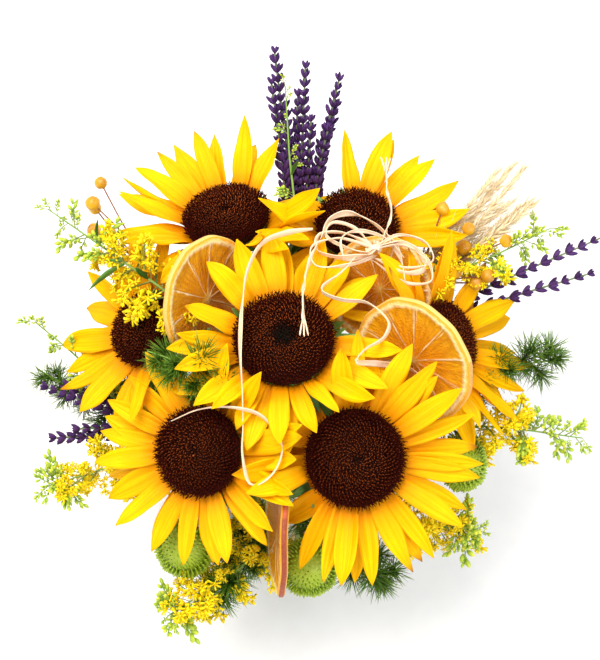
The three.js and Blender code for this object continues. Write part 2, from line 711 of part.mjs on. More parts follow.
const TRAIL_RIGHT = [
  [50, 66, -5], [48, 50, -9], [48, 33, -11], [29, 38, -11], [20, 52, -8], [7, 62, -2], [0, 59, 1], [-16, 48, -7],
  [-24, 46, -6], [-14, 57, 8], [-11, 76, 14], [-14, 84, 18], [-17, 80, 24], [-17, 68, 24], [-12, 60, 20],
];

const FILLER = [
  ...ORANGE_SLICES.map((piece) => ({ piece, azimuth: piece.cane })),
  ...[LAVENDER, GOLDENROD, FERN, CHRYSANTHEMUMS, SEED_HEADS, GRASS_EARS].flat().map((piece) => {
    return { piece, azimuth: piece.route[0][0] };
  }),
];
for (const place of FILLER) {
  place.azimuth = ((place.azimuth % 360) + 360) % 360;
}
waistPlaces(FILLER.map(({ azimuth }) => azimuth)).forEach((waist, k) => {
  FILLER[k].piece.waist = waist;
});

// The petals settle last, round everything that is already there.
for (const { piece } of FILLER) {
  const route = piece.route ? fillerRoute(piece) : pickRoute(piece);
  for (let k = 8; k <= 30; k += 1) {
    beads.push({ at: route.getPointAt(k / 30), radius: SPRAY_STEM_RADIUS + 2.2 });
  }
}
for (const places of [TRAIL_LEFT, TRAIL_RIGHT, ...BOW]) {
  const route = ribbonRoute(places);
  for (let k = 0; k <= 40; k += 1) {
    beads.push({ at: route.getPointAt(k / 40), radius: RAFFIA_WIDTH / 2 + 1.8 });
  }
}
for (const slice of ORANGE_SLICES) {
  patches.push({ at: slice.centre, normal: slice.facing, wide: slice.radius + 2, deep: SLICE_THICKNESS / 2 + 2 });
}
SUNFLOWERS.forEach(settlePetals);

const COLOURS = {
  disc: 0x3a1a10,
  petals: 0xffc80a,
  stem: 0x6f8f3c,
  orange: 0xe39a2c,
  pick: 0xc9a46a,
  lavender: 0x46306b,
  goldenrod: 0xe0cf22,
  fern: 0x3f8a34,
  chrysanthemum: 0x9cc92e,
  seed_heads: 0xc98d1c,
  grass_ear: 0xe9d5a8,
  raffia: 0xf2dcba,
};

// Each piece builds itself, or the same shape grown by a clearance for its neighbours to miss.
// What comes first keeps its shape; what comes later gives way.
const pieces = [];
const add = (name, colour, build, firm = false) => pieces.push({ name, colour, build, firm });

for (const flower of SUNFLOWERS) {
  add(`sunflower_${flower.name}_disc`, "disc", (grow) => discSolid(flower, grow), true);
  add(`sunflower_${flower.name}_stem`, "stem", (grow) => stemSolid(flower, grow));
}
add("raffia_binding", "raffia", bindingSolid, true);
add("raffia_trail_left", "raffia", (grow) => ribbonSolid(TRAIL_LEFT, grow, 52), true);
add("raffia_trail_right", "raffia", (grow) => ribbonSolid(TRAIL_RIGHT, grow, 44), true);
add("raffia_bow", "raffia", (grow) => joined(BOW.map((places) => ribbonSolid(places, grow, 8))));
for (const slice of ORANGE_SLICES) {
  const cane = (grow) => cutLevel(solidOf(tube(pickRoute(slice), PICK_RADIUS + grow, PICK_RADIUS + grow, 4, 12)));
  add(`orange_pick_${slice.name}`, "pick", cane);
}
for (const slice of ORANGE_SLICES) {
  add(`orange_slice_${slice.name}`, "orange", (grow) => sliceSolid(slice, grow));
}
for (const piece of LAVENDER) {
  add(`lavender_${piece.name}`, "lavender", (grow) => lavenderSolid(piece, grow));
}
for (const piece of CHRYSANTHEMUMS) {
  add(`chrysanthemum_${piece.name}`, "chrysanthemum", (grow) => chrysanthemumSolid(piece, grow));
}
for (const piece of SEED_HEADS) {
  add(`seed_heads_${piece.name}`, "seed_heads", (grow) => seedHeadSolid(piece, grow));
}
for (const piece of GRASS_EARS) {
  add(`grass_ear_${piece.name}`, "grass_ear", (grow) => grassSolid(piece, grow));
}
for (const piece of GOLDENROD) {
  add(`goldenrod_${piece.name}`, "goldenrod", (grow) => goldenrodSolid(piece, grow));
}
for (const piece of FERN) {
  add(`fern_${piece.name}`, "fern", (grow) => fernSolid(piece, grow));
}
for (const flower of SUNFLOWERS) {
  add(`sunflower_${flower.name}_petals`, "petals", (grow) => petalsSolid(flower, grow));
}

function boxesMeet(a, b) {
  return [0, 1, 2].every((k) => a.min[k] <= b.max[k] && b.min[k] <= a.max[k]);
}

// The same solid with no record of the cuts that made it, which would grow with every cut.
function withoutHistory(body) {
  const { vertProperties, triVerts } = body.getMesh();
  body.delete();
  return new wasm.Manifold(new wasm.Mesh({ numProp: 3, vertProperties, triVerts }));
}

// Cuts the clearance of every earlier piece out of a later one and keeps its main body.
function fitted(piece, earlier) {
  let body = piece.build(0);
  for (const other of earlier) {
    if (!boxesMeet(body.boundingBox(), other.grown.boundingBox())) {
      continue;
    }
    body = minus(minus(body, other.grown), other.body);
  }
  const bodies = body.decompose().sort((a, b) => b.volume() - a.volume());
  bodies.slice(1).forEach((scrap) => scrap.delete());
  body.delete();
  return withoutHistory(bodies[0]);
}

function meshOf(piece, body) {
  const { vertProperties, triVerts } = body.getMesh();
  const geometry = new THREE.BufferGeometry();
  geometry.setAttribute("position", new THREE.BufferAttribute(vertProperties, 3));
  geometry.setIndex(new THREE.BufferAttribute(triVerts, 1));
  const mesh = new THREE.Mesh(geometry, new THREE.MeshStandardMaterial({ color: COLOURS[piece.colour], roughness: 0.7 }));
  mesh.name = piece.name;
  return mesh;
}

const posy = new THREE.Group();
posy.name = "bunch_of_sunflowers";
const placed = [];
for (const piece of pieces) {
  const body = piece.firm ? piece.build(0) : fitted(piece, placed);
  placed.push({ body, grown: piece.build(CLEARANCE) });
  posy.add(meshOf(piece, body));
}

export default posy;
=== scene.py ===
"""A hand-tied posy of sunflowers with dried orange slices, lavender, goldenrod and raffia.

The places of all pieces are given in millimetres, as in the part's own source, and turned
into metres when a mesh is made.
"""

import json
import math

import bmesh
import bpy
import numpy as np
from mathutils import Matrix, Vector

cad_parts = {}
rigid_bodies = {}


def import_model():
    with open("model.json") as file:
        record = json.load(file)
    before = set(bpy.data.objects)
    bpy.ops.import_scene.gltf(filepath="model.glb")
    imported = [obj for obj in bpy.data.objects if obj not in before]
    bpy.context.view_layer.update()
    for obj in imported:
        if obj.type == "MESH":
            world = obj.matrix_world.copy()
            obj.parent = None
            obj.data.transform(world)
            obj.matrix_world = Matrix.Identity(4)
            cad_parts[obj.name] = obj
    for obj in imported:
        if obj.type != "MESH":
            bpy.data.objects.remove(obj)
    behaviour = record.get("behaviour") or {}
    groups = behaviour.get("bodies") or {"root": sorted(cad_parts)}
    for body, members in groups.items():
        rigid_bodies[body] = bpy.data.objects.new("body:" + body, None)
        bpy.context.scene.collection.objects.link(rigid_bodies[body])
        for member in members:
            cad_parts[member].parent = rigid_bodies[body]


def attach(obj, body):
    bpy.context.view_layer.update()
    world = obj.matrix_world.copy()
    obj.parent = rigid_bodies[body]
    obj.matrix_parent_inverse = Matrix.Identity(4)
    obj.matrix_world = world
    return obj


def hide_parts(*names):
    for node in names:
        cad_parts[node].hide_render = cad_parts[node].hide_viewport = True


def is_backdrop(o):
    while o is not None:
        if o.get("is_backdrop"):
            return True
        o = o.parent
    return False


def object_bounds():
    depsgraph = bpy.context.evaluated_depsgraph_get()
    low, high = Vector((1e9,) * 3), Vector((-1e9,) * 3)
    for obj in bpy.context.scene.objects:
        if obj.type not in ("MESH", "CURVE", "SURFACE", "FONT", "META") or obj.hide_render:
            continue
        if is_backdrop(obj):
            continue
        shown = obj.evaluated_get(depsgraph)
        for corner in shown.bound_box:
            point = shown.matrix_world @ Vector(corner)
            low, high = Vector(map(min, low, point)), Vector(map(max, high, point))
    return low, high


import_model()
cad_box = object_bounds()

MM = 0.001
GOLDEN_ANGLE = math.radians(137.508)
scene = bpy.context.scene

# ---------------------------------------------------------------- sizes of the bunch, in mm

HEAD_HEIGHT = 240
BIND_HEIGHT = 95
STEM_RADIUS = 4.5
MIDDLE_STEM_RADIUS = 5
SPRAY_STEM_RADIUS = 1.3
SUNFLOWER_RING = MIDDLE_STEM_RADIUS + STEM_RADIUS + 2.7
SPRAY_RING = SUNFLOWER_RING + STEM_RADIUS + SPRAY_STEM_RADIUS + 2
SUNFLOWER_LEAN = 0.75
SPRAY_LEAN = 0.82
FOOT_LEAN = 0.58
SPREAD_RISE = 22
SPIRAL_TURN = 70
STEM_SPACING = 9.6

DISC_DEPTH = 8
DOME = 3
COLLAR_DEPTH = 3.6
CUP_DEPTH = 19
CLEARANCE = 0.4
PETAL_WIDTH = 13.5
PETAL_CURVE = -14
SLICE_THICKNESS = 5
PICK_GRIP = 14
RAFFIA_WIDTH = 4.4
RAFFIA_THICKNESS = 0.5

# name, azimuth and reach of the disc, drop below the middle one, way it leans and how far,
# disc radius, petal length, how far the petals rise from the plane of the head
SUNFLOWERS = [
    ("middle", 0, 0, 0, -90, 2, 32, 38, 14),
    ("front_right", -58, 78, 26, -84, 28, 31.5, 44, 10),
    ("front_left", -130, 79, 28, -131, 30, 28.5, 39, 10),
    ("back_right", 63, 99, 16, 15, 7, 27.5, 43, 24),
    ("back_left", 111, 103, 18, 120, 17, 29, 44, 34),
    ("left", 167, 88, 26, 193, 31, 24.5, 41, 14),
    ("right", 9, 102, 33, -8, 44, 25, 45, 24),
]
# name, radius, azimuth, reach, drop, way it faces, tilt, where its cane leaves the spiral
ORANGE_SLICES = [
    ("left", 38, 145, 57, 14, -30, 66, 154),
    ("right", 39, -5, 77, 17, -129, 64, -16),
    ("back", 33, 38, 73, 24, -70, 33, 40),
    ("front", 36, -92, 98, 66, 184, 83, -92),
]
# routes of the thin stems above the tie, as azimuth, reach and drop
LAVENDER = {
    "back_left": ([[92, 112, 70], [89, 130, 45], [92, 192, -20]], 0.38),
    "back_middle": ([[86, 116, 74], [86, 134, 48], [86, 182, -18]], 0.38),
    "back_right": ([[80, 118, 76], [82, 138, 50], [79, 178, -14]], 0.38),
    "left_upper": ([[190, 60, 105], [188, 98, 82], [180, 148, 68]], 0.4),
    "left_lower": ([[194, 62, 116], [192, 96, 96], [190, 146, 88]], 0.4),
    "right_upper": ([[32, 90, 84], [27, 124, 58], [24, 220, 35]], 0.36),
    "right_lower": ([[28, 96, 90], [24, 132, 66], [20, 204, 48]], 0.38),
}
GOLDENROD = {
    "left_back": ([[148, 62, 60], [154, 72, 14], [149, 117, 14], [144, 186, 35]], 0.35),
    "left": ([[182, 74, 100], [183, 104, 76], [172, 130, 64], [166, 160, 56]], 0.5),
    "front_left_side": ([[203, 74, 112], [203, 106, 90], [201, 156, 92]], 0.42),
    "front_left": ([[252, 66, 122], [258, 98, 106], [241, 148, 122]], 0.42),
    "front_right": ([[310, 70, 118], [312, 98, 104], [325, 144, 99]], 0.42),
    "right": ([[350, 84, 104], [350, 128, 78], [351, 186, 80]], 0.42),
    "back_right": ([[36, 74, 84], [34, 102, 36], [29, 137, 28], [29, 189, 30]], 0.45),
    "back": ([[96, 72, 70], [86, 84, 24], [89, 136, 6], [90, 175, -6]], 0.42),
}
FERN = {
    "middle": ([[208, 40, 70], [210, 47, 26], [194, 62, 6], [184, 80, 8]], 0.5),
    "left": ([[178, 84, 112], [180, 122, 84], [174, 156, 76]], 0.5),
    "right": ([[6, 96, 98], [6, 138, 70], [6, 178, 66]], 0.5),
    "front_left": ([[254, 70, 136], [256, 98, 118], [247, 132, 124]], 0.44),
    "front_right": ([[292, 72, 132], [296, 104, 116], [302, 130, 120]], 0.44),
}
CHRYSANTHEMUMS = {
    "front_left": ([[236, 84, 122], [237, 112, 96]], 20),
    "front": ([[278, 78, 126], [278, 106, 102]], 19),
    "right": ([[336, 84, 106], [337, 118, 78]], 18),
}
SEED_HEADS = {
    "left": (
        [[140, 78, 84], [139, 112, 50]],
        [[133, 172, 30], [138, 163, 28], [137, 166, 40], [141, 156, 42], [143, 150, 33], [139, 148, 44]],
    ),
    "right": (
        [[40, 80, 76], [36, 108, 40]],
        [[37, 142, 20], [30, 158, 24], [25, 130, 34], [45, 138, 16], [32, 148, 32], [28, 104, 26],
         [35, 136, 30], [38, 127, 26], [30, 121, 30], [24, 136, 26], [47, 141, 27]],
    ),
}
GRASS_EARS = {
    "back": ([[44, 96, 84], [40, 134, 40], [41, 190, 4]], 0.5),
    "front": ([[38, 100, 90], [36, 136, 46], [34, 184, 14]], 0.5),
}
BOW_KNOT = [48, 80, 0]
BOW = [
    [BOW_KNOT, [43, 92, -2], [35, 99, 0], [30, 97, 6], [33, 84, 6], [46, 76, 3]],
    [BOW_KNOT, [62, 76, -4], [72, 68, -6], [70, 58, -6], [54, 62, -5], [46, 77, 1]],
    [[71, 65, -7], [70, 82, -6], [64, 91, -4], [53, 94, 0], [40, 90, 4], [28, 82, 6]],
    [[45, 79, 0], [50, 96, 0], [53, 107, 0], [58, 118, 2], [63, 136, 0]],
    [[71, 64, -7], [71, 46, -10], [65, 27, -11], [44, 16, -10], [0, 12, -9]],
]
TRAIL_LEFT = [
    [76, 70, -8], [88, 64, -10], [102, 58, -11], [117, 45, -11], [142, 30, -11],
    [-151, 28, -10], [-122, 44, 2], [-113, 59, 10], [-108, 74, 12], [-102, 87, 18],
    [-95, 79, 19], [-91, 64, 14], [-104, 50, 8], [-121, 54, 0], [-138, 65, 8], [-144, 80, 16],
]
TRAIL_RIGHT = [
    [50, 66, -5], [48, 50, -9], [48, 33, -11], [29, 38, -11], [20, 52, -8], [7, 62, -2],
    [0, 59, 1], [-16, 48, -7], [-24, 46, -6], [-14, 57, 8], [-11, 76, 14], [-14, 84, 18],
    [-17, 80, 24], [-17, 68, 24], [-12, 60, 20],
]

# ================================================================ camera and light

camera_data = bpy.data.cameras.new("camera")
camera_data.lens = 85
camera_data.sensor_width = 36
camera_data.clip_end = 20
camera = bpy.data.objects.new("camera", camera_data)
scene.collection.objects.link(camera)
look_down = math.radians(62)
looked_at = Vector((0.0093, 0.0031, 0.2416))
camera_distance = 0.905
camera.location = looked_at + camera_distance * Vector((0, -math.cos(look_down), math.sin(look_down)))
camera.rotation_euler = (math.radians(90) - look_down, 0, 0)
scene.camera = camera
scene.view_settings.view_transform = "Standard"


def linear(hex_colour):
    """An sRGB hex colour as the linear colour that shaders work in."""
    parts = [int(hex_colour[k : k + 2], 16) / 255 for k in (1, 3, 5)]
    return (*[p / 12.92 if p <= 0.04045 else ((p + 0.055) / 1.055) ** 2.4 for p in parts], 1)


def add(tree, kind, inputs=None, stops=None, **settings):
    """Adds a node. Inputs are values or other nodes' outputs; stops are a ramp's colours."""
    node = tree.nodes.new(kind)
    for key, value in settings.items():
        setattr(node, key, value)
    for key, value in (inputs or {}).items():
        if isinstance(value, bpy.types.NodeSocket):
            tree.links.new(value, node.inputs[key])
        else:
            node.inputs[key].default_value = value
    if stops:
        ramp = node.color_ramp.elements
        while len(ramp) < len(stops):
            ramp.new(0.5)
        for element, (place, colour) in zip(ramp, stops):
            element.position = place
            element.color = linear(colour)
    return node


world = bpy.data.worlds.new("studio")
scene.world = world
world.use_nodes = True
world.node_tree.nodes["Background"].inputs["Color"].default_value = linear("#F4F6FA")
world.node_tree.nodes["Background"].inputs["Strength"].default_value = 0.66


def softbox(name, place, size, power, colour):
    data = bpy.data.lights.new(name, "AREA")
    data.shape = "DISK"
    data.size = size
    data.energy = power
    data.color = linear(colour)[:3]
    light = bpy.data.objects.new(name, data)
    light.location = place
    light.rotation_euler = (Vector((0, 0, 0.2)) - Vector(place)).to_track_quat("-Z", "Y").to_euler()
    scene.collection.objects.link(light)


softbox("key", (-0.5, 0.0, 1.85), 1.3, 38, "#FFF8EE")
softbox("fill", (1.2, -1.1, 1.2), 1.4, 18, "#F4F7FF")
softbox("rim", (0.4, 1.5, 1.1), 0.9, 10, "#FFFFFF")

# ================================================================ places and routes


def around(place):
    """A point round the middle stem, given as azimuth, reach and drop."""
    azimuth, reach, drop = place
    turn = math.radians(azimuth)
    return np.array([reach * math.cos(turn), reach * math.sin(turn), HEAD_HEIGHT - drop])


def leaning(azimuth, lean):
    """The direction that leans from the vertical towards an azimuth."""
    turn, side = math.radians(azimuth), math.sin(math.radians(lean))
    return np.array([side * math.cos(turn), side * math.sin(turn), math.cos(math.radians(lean))])


def uneven(number):
    """A repeatable unevenness between -1 and 1."""
    return 2 * (abs(math.sin(number * 12.9898) * 43758.5453) % 1) - 1


def facing_frame(centre, direction):
    """Rotation of a head or slice whose local Z is the way it faces, with its centre."""
    turn = Vector((0, 0, 1)).rotation_difference(Vector(direction))
    return np.array(turn.to_matrix()), np.array(centre, float)


def placed(points, where):
    rotation, centre = where
    return np.asarray(points, float) @ rotation.T + centre


def smooth_route(points, count):
    """Points evenly spaced on a smooth line through the given ones."""
    p = [np.asarray(q, float) for q in points]
    p = [2 * p[0] - p[1], *p, 2 * p[-1] - p[-2]]
    fine = []
    for k in range(1, len(p) - 2):
        gaps = [math.sqrt(np.linalg.norm(p[k + j] - p[k + j - 1])) or 1.0 for j in (0, 1, 2)]
        first = (p[k] - p[k - 1]) / gaps[0] - (p[k + 1] - p[k - 1]) / (gaps[0] + gaps[1])
        first = (first + (p[k + 1] - p[k]) / gaps[1]) * gaps[1]
        last = (p[k + 1] - p[k]) / gaps[1] - (p[k + 2] - p[k]) / (gaps[1] + gaps[2])
        last = (last + (p[k + 2] - p[k + 1]) / gaps[2]) * gaps[1]
        for t in np.linspace(0, 1, 40, endpoint=False):
            bend = 2 * p[k] - 2 * p[k + 1] + first + last
            sweep = -3 * p[k] + 3 * p[k + 1] - 2 * first - last
            fine.append(p[k] + first * t + sweep * t**2 + bend * t**3)
    fine = np.array([*fine, p[-2]])
    run = np.concatenate([[0], np.cumsum(np.linalg.norm(np.diff(fine, axis=0), axis=1))])
    even = np.linspace(0, run[-1], count)
    return np.stack([np.interp(even, run, fine[:, k]) for k in range(3)], axis=1)


def length_of(route):
    return float(np.linalg.norm(np.diff(route, axis=0), axis=1).sum())


def on_spiral(ring, lean, waist, rise):
    """A point on the straight part of a stem, at a height above or below the tie."""
    turn = math.radians(waist)
    run = rise * lean * (FOOT_LEAN if rise < 0 else 1)
    x = ring * math.cos(turn) - run * math.sin(turn)
    y = ring * math.sin(turn) + run * math.cos(turn)
    return np.array([x, y, BIND_HEIGHT + rise])


def stem_route(ring, lean, waist, upper, count=90):
    """The way a stem takes from its cut end to its head."""
    rises = (-BIND_HEIGHT - 6, -BIND_HEIGHT / 2, 0, SPREAD_RISE)
    route = smooth_route([*[on_spiral(ring, lean, waist, rise) for rise in rises], *upper], 400)
    above = route[route[:, 2] > 0.3]
    run = np.concatenate([[0], np.cumsum(np.linalg.norm(np.diff(above, axis=0), axis=1))])
    even = np.linspace(0, run[-1], count)
    return np.stack([np.interp(even, run, above[:, k]) for k in range(3)], axis=1)


def waist_places(azimuths):
    """Gives each thin stem its own place at the tie, in the order of the heads."""
    order = sorted(([a - SPIRAL_TURN, k] for k, a in enumerate(azimuths)), key=lambda one: one[0])
    for _ in range(400):
        for k, one in enumerate(order):
            after = order[(k + 1) % len(order)]
            turn = 360 if k + 1 == len(order) else 0
            short = STEM_SPACING - (after[0] + turn - one[0])
            if short > 0:
                one[0] -= short / 2
                after[0] += short / 2
    places = {k: at for at, k in order}
    return [places[k] for k in range(len(azimuths))]


thin_groups = [LAVENDER, GOLDENROD, FERN, CHRYSANTHEMUMS, SEED_HEADS, GRASS_EARS]
thin_keys = [("slice", row[0], row[7]) for row in ORANGE_SLICES]
for rank, group in enumerate(thin_groups):
    thin_keys += [(rank, name, piece[0][0][0]) for name, piece in group.items()]
waists = waist_places([azimuth % 360 for _, _, azimuth in thin_keys])
waist_of = {(group, name): waist for (group, name, _), waist in zip(thin_keys, waists)}


def thin_route(rank, name, count=90):
    route = thin_groups[rank][name][0]
    waist = waist_of[rank, name]
    return stem_route(SPRAY_RING, SPRAY_LEAN, waist, [around(place) for place in route], count)


def slice_place(row):
    _, radius, azimuth, reach, drop, face_to, tilt, _ = row
    centre, facing = around([azimuth, reach, drop]), leaning(face_to, tilt)
    down = np.array([0, 0, -1]) + facing[2] * facing
    return centre, facing, down / np.linalg.norm(down), radius


def pick_route(row, count=60):
    centre, _, down, radius = slice_place(row)
    upper = [centre + down * (radius + out) for out in (16, 2, -PICK_GRIP)]
    return stem_route(SPRAY_RING, SPRAY_LEAN, waist_of["slice", row[0]], upper, count)


# ================================================================ meshes


def mesh_of(name, points, faces, values=None, smooth=True):
    """A mesh from points in millimetres, with a number per point under each name."""
    mesh = bpy.data.meshes.new(name)
    mesh.from_pydata((np.asarray(points, float) * MM).tolist(), [], faces)
    for key, numbers in (values or {}).items():
        layer = mesh.attributes.new(key, "FLOAT", "POINT")
        layer.data.foreach_set("value", np.asarray(numbers, np.float32))
    if smooth:
        mesh.shade_smooth()
    return mesh


def hosted(mesh):
    thing = bpy.data.objects.new(mesh.name, mesh)
    scene.collection.objects.link(thing)
    return thing


def line_host(route, radius=None, tilt=None):
    """A bare line for a node tree to grow things on, in millimetres."""
    mesh = bpy.data.meshes.new("line")
    edges = [(k, k + 1) for k in range(len(route) - 1)]
    mesh.from_pydata((np.asarray(route, float) * MM).tolist(), edges, [])
    for key, numbers in (("radius", radius), ("tilt", tilt)):
        layer = mesh.attributes.new(key, "FLOAT", "POINT")
        numbers = np.ones(len(route)) if numbers is None else numbers
        layer.data.foreach_set("value", np.asarray(numbers, np.float32))
    return hosted(mesh)


def grown(host, tree, **sizes):
    """Grows a node tree on its host and keeps the result as a plain mesh."""
    modifier = host.modifiers.new("grow", "NODES")
    modifier.node_group = tree
    for item in tree.interface.items_tree:
        if item.item_type == "SOCKET" and item.name in sizes:
            modifier[item.identifier] = sizes[item.name]
    graph = bpy.context.evaluated_depsgraph_get()
    grown_host = host.evaluated_get(graph)
    mesh = bpy.data.meshes.new_from_object(grown_host, preserve_all_data_layers=True, depsgraph=graph)
    bpy.data.objects.remove(host)
    return mesh


def finished(name, meshes, node):
    """Joins meshes into one piece that stands for a CAD node."""
    things = [hosted(mesh) for mesh in meshes]
    with bpy.context.temp_override(active_object=things[0], selected_editable_objects=things):
        bpy.ops.object.join()
    piece = things[0]
    piece.name = name
    piece.data.name = name
    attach(piece, "root")
    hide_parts(node)
    return piece


def blade(
    centre, side, half, thickness=0.35, columns=7, cup=0.0, pleats=0, pleat=0.0, edge_wave=0.0, seed=0
):
    """A thin closed leaf or petal round a line. Side points across it, half is half its width."""
    rows = len(centre)
    along = np.gradient(centre, axis=0)
    along /= np.linalg.norm(along, axis=1)[:, None]
    side = side - (side * along).sum(1)[:, None] * along
    side /= np.linalg.norm(side, axis=1)[:, None]
    normal = np.cross(side, along)
    across = np.linspace(-1, 1, columns)
    share = np.linspace(0, 1, rows)
    fold = cup * half[:, None] * (across[None, :] ** 2 - 0.33)
    fade = np.minimum(1, half / max(half.max(), 1e-6))[:, None]
    fold = fold + pleat * fade * np.cos(pleats * math.pi * across)[None, :]
    wave = np.sin(share * 9 + seed * 1.7)[:, None] * np.where(across < 0, 1, -0.8)[None, :]
    fold = fold + edge_wave * half[:, None] * wave * np.abs(across)[None, :] ** 3
    flat = centre[:, None, :] + side[:, None, :] * (half[:, None] * across[None, :])[..., None]
    thick = thickness * (1 - 0.5 * across[None, :, None] ** 2) / 2
    top = flat + normal[:, None, :] * (fold[..., None] + thick)
    low = flat + normal[:, None, :] * (fold[..., None] - thick)
    points = np.concatenate([top.reshape(-1, 3), low.reshape(-1, 3)])
    below = rows * columns
    faces = []
    for i in range(rows - 1):
        for j in range(columns - 1):
            a, b = i * columns + j, i * columns + j + 1
            c, d = b + columns, a + columns
            faces += [(a, b, c, d), (below + a, below + d, below + c, below + b)]
        a, d = i * columns, (i + 1) * columns
        faces.append((a, d, below + d, below + a))
        a, d = a + columns - 1, d + columns - 1
        faces.append((a, below + a, below + d, d))
    for j in range(columns - 1):
        faces.append((j, below + j, below + j + 1, j + 1))
        a = (rows - 1) * columns + j
        faces.append((a, a + 1, below + a + 1, below + a))
    values = {
        "along": np.tile(np.repeat(share, columns), 2),
        "across": np.tile(np.tile(across, rows), 2),
    }
    return points, faces, values


def gathered(name, parts):
    """One mesh from several blades, each with its own shade of the colour."""
    points, faces, values, start = [], [], {"along": [], "across": [], "shade": []}, 0
    for (p, f, v), shade in parts:
        points.append(p)
        faces += [tuple(k + start for k in face) for face in f]
        values["along"].append(v["along"])
        values["across"].append(v["across"])
        values["shade"].append(np.full(len(p), shade))
        start += len(p)
    values = {key: np.concatenate(numbers) for key, numbers in values.items()}
    return mesh_of(name, np.concatenate(points), faces, values)


def barrel_faces(rows, sides):
    """Faces round rows of points, closed by one point below and one above, which come last."""
    faces = []
    for row in range(rows - 1):
        for k in range(sides):
            a, b = row * sides + k, row * sides + (k + 1) % sides
            faces.append((a, b, b + sides, a + sides))
    low, high, top = rows * sides, rows * sides + 1, (rows - 1) * sides
    for k in range(sides):
        faces.append((low, (k + 1) % sides, k))
        faces.append((top + k, top + (k + 1) % sides, high))
    return faces


def lathe(name, profile, sides, material, wobble=0.0, where=None):
    """A closed body of revolution about Z from [radius, height] points, first and last on Z."""
    points, values = [], []
    inner = profile[1:-1]
    for row, (radius, height) in enumerate(inner):
        for k in range(sides):
            turn = 2 * math.pi * k / sides
            r = radius * (1 + wobble * uneven(row * 7 + k))
            points.append((r * math.cos(turn), r * math.sin(turn), height))
            values.append(row / max(len(inner) - 1, 1))
    points += [(0, 0, profile[0][1]), (0, 0, profile[-1][1])]
    values += [0, 1]
    if where is not None:
        points = placed(points, where)
    marks = {"along": values, "share": values, "shade": [0.5] * len(values)}
    mesh = mesh_of(name, points, barrel_faces(len(inner), sides), marks)
    mesh.materials.append(material)
    return mesh


# ================================================================ node trees


def new_tree(name, sockets):
    """An empty tree with named inputs, its input node and its output node."""
    tree = bpy.data.node_groups.new(name, "GeometryNodeTree")
    tree.interface.new_socket("Geometry", in_out="INPUT", socket_type="NodeSocketGeometry")
    for label, kind, value in sockets:
        socket = tree.interface.new_socket(label, in_out="INPUT", socket_type="NodeSocket" + kind)
        if value is not None:
            socket.default_value = value
    tree.interface.new_socket("Geometry", in_out="OUTPUT", socket_type="NodeSocketGeometry")
    return tree, add(tree, "NodeGroupInput").outputs, add(tree, "NodeGroupOutput").inputs


def chances_of(tree, given, count):
    """Several separate uneven values for each copy, up to the tree's unevenness either way."""
    low = add(tree, "ShaderNodeMath", {0: given["Unevenness"], 1: -1.0}, operation="MULTIPLY").outputs[0]
    chances = []
    for k in range(count):
        seed = add(tree, "ShaderNodeMath", {0: given["Seed"], 1: k * 101.0}, operation="ADD").outputs[0]
        chance = {2: low, 3: given["Unevenness"], "Seed": seed}
        chances.append(add(tree, "FunctionNodeRandomValue", chance, data_type="FLOAT").outputs[1])
    return chances


def realized(tree, geometry, given, result):
    """Ends a tree: the copies become real, take their material and go to the output."""
    real = add(tree, "GeometryNodeRealizeInstances", {0: geometry}).outputs[0]
    done = add(tree, "GeometryNodeSetMaterial", {0: real, "Material": given["Material"]}).outputs[0]
    tree.links.new(done, result[0])
    return tree


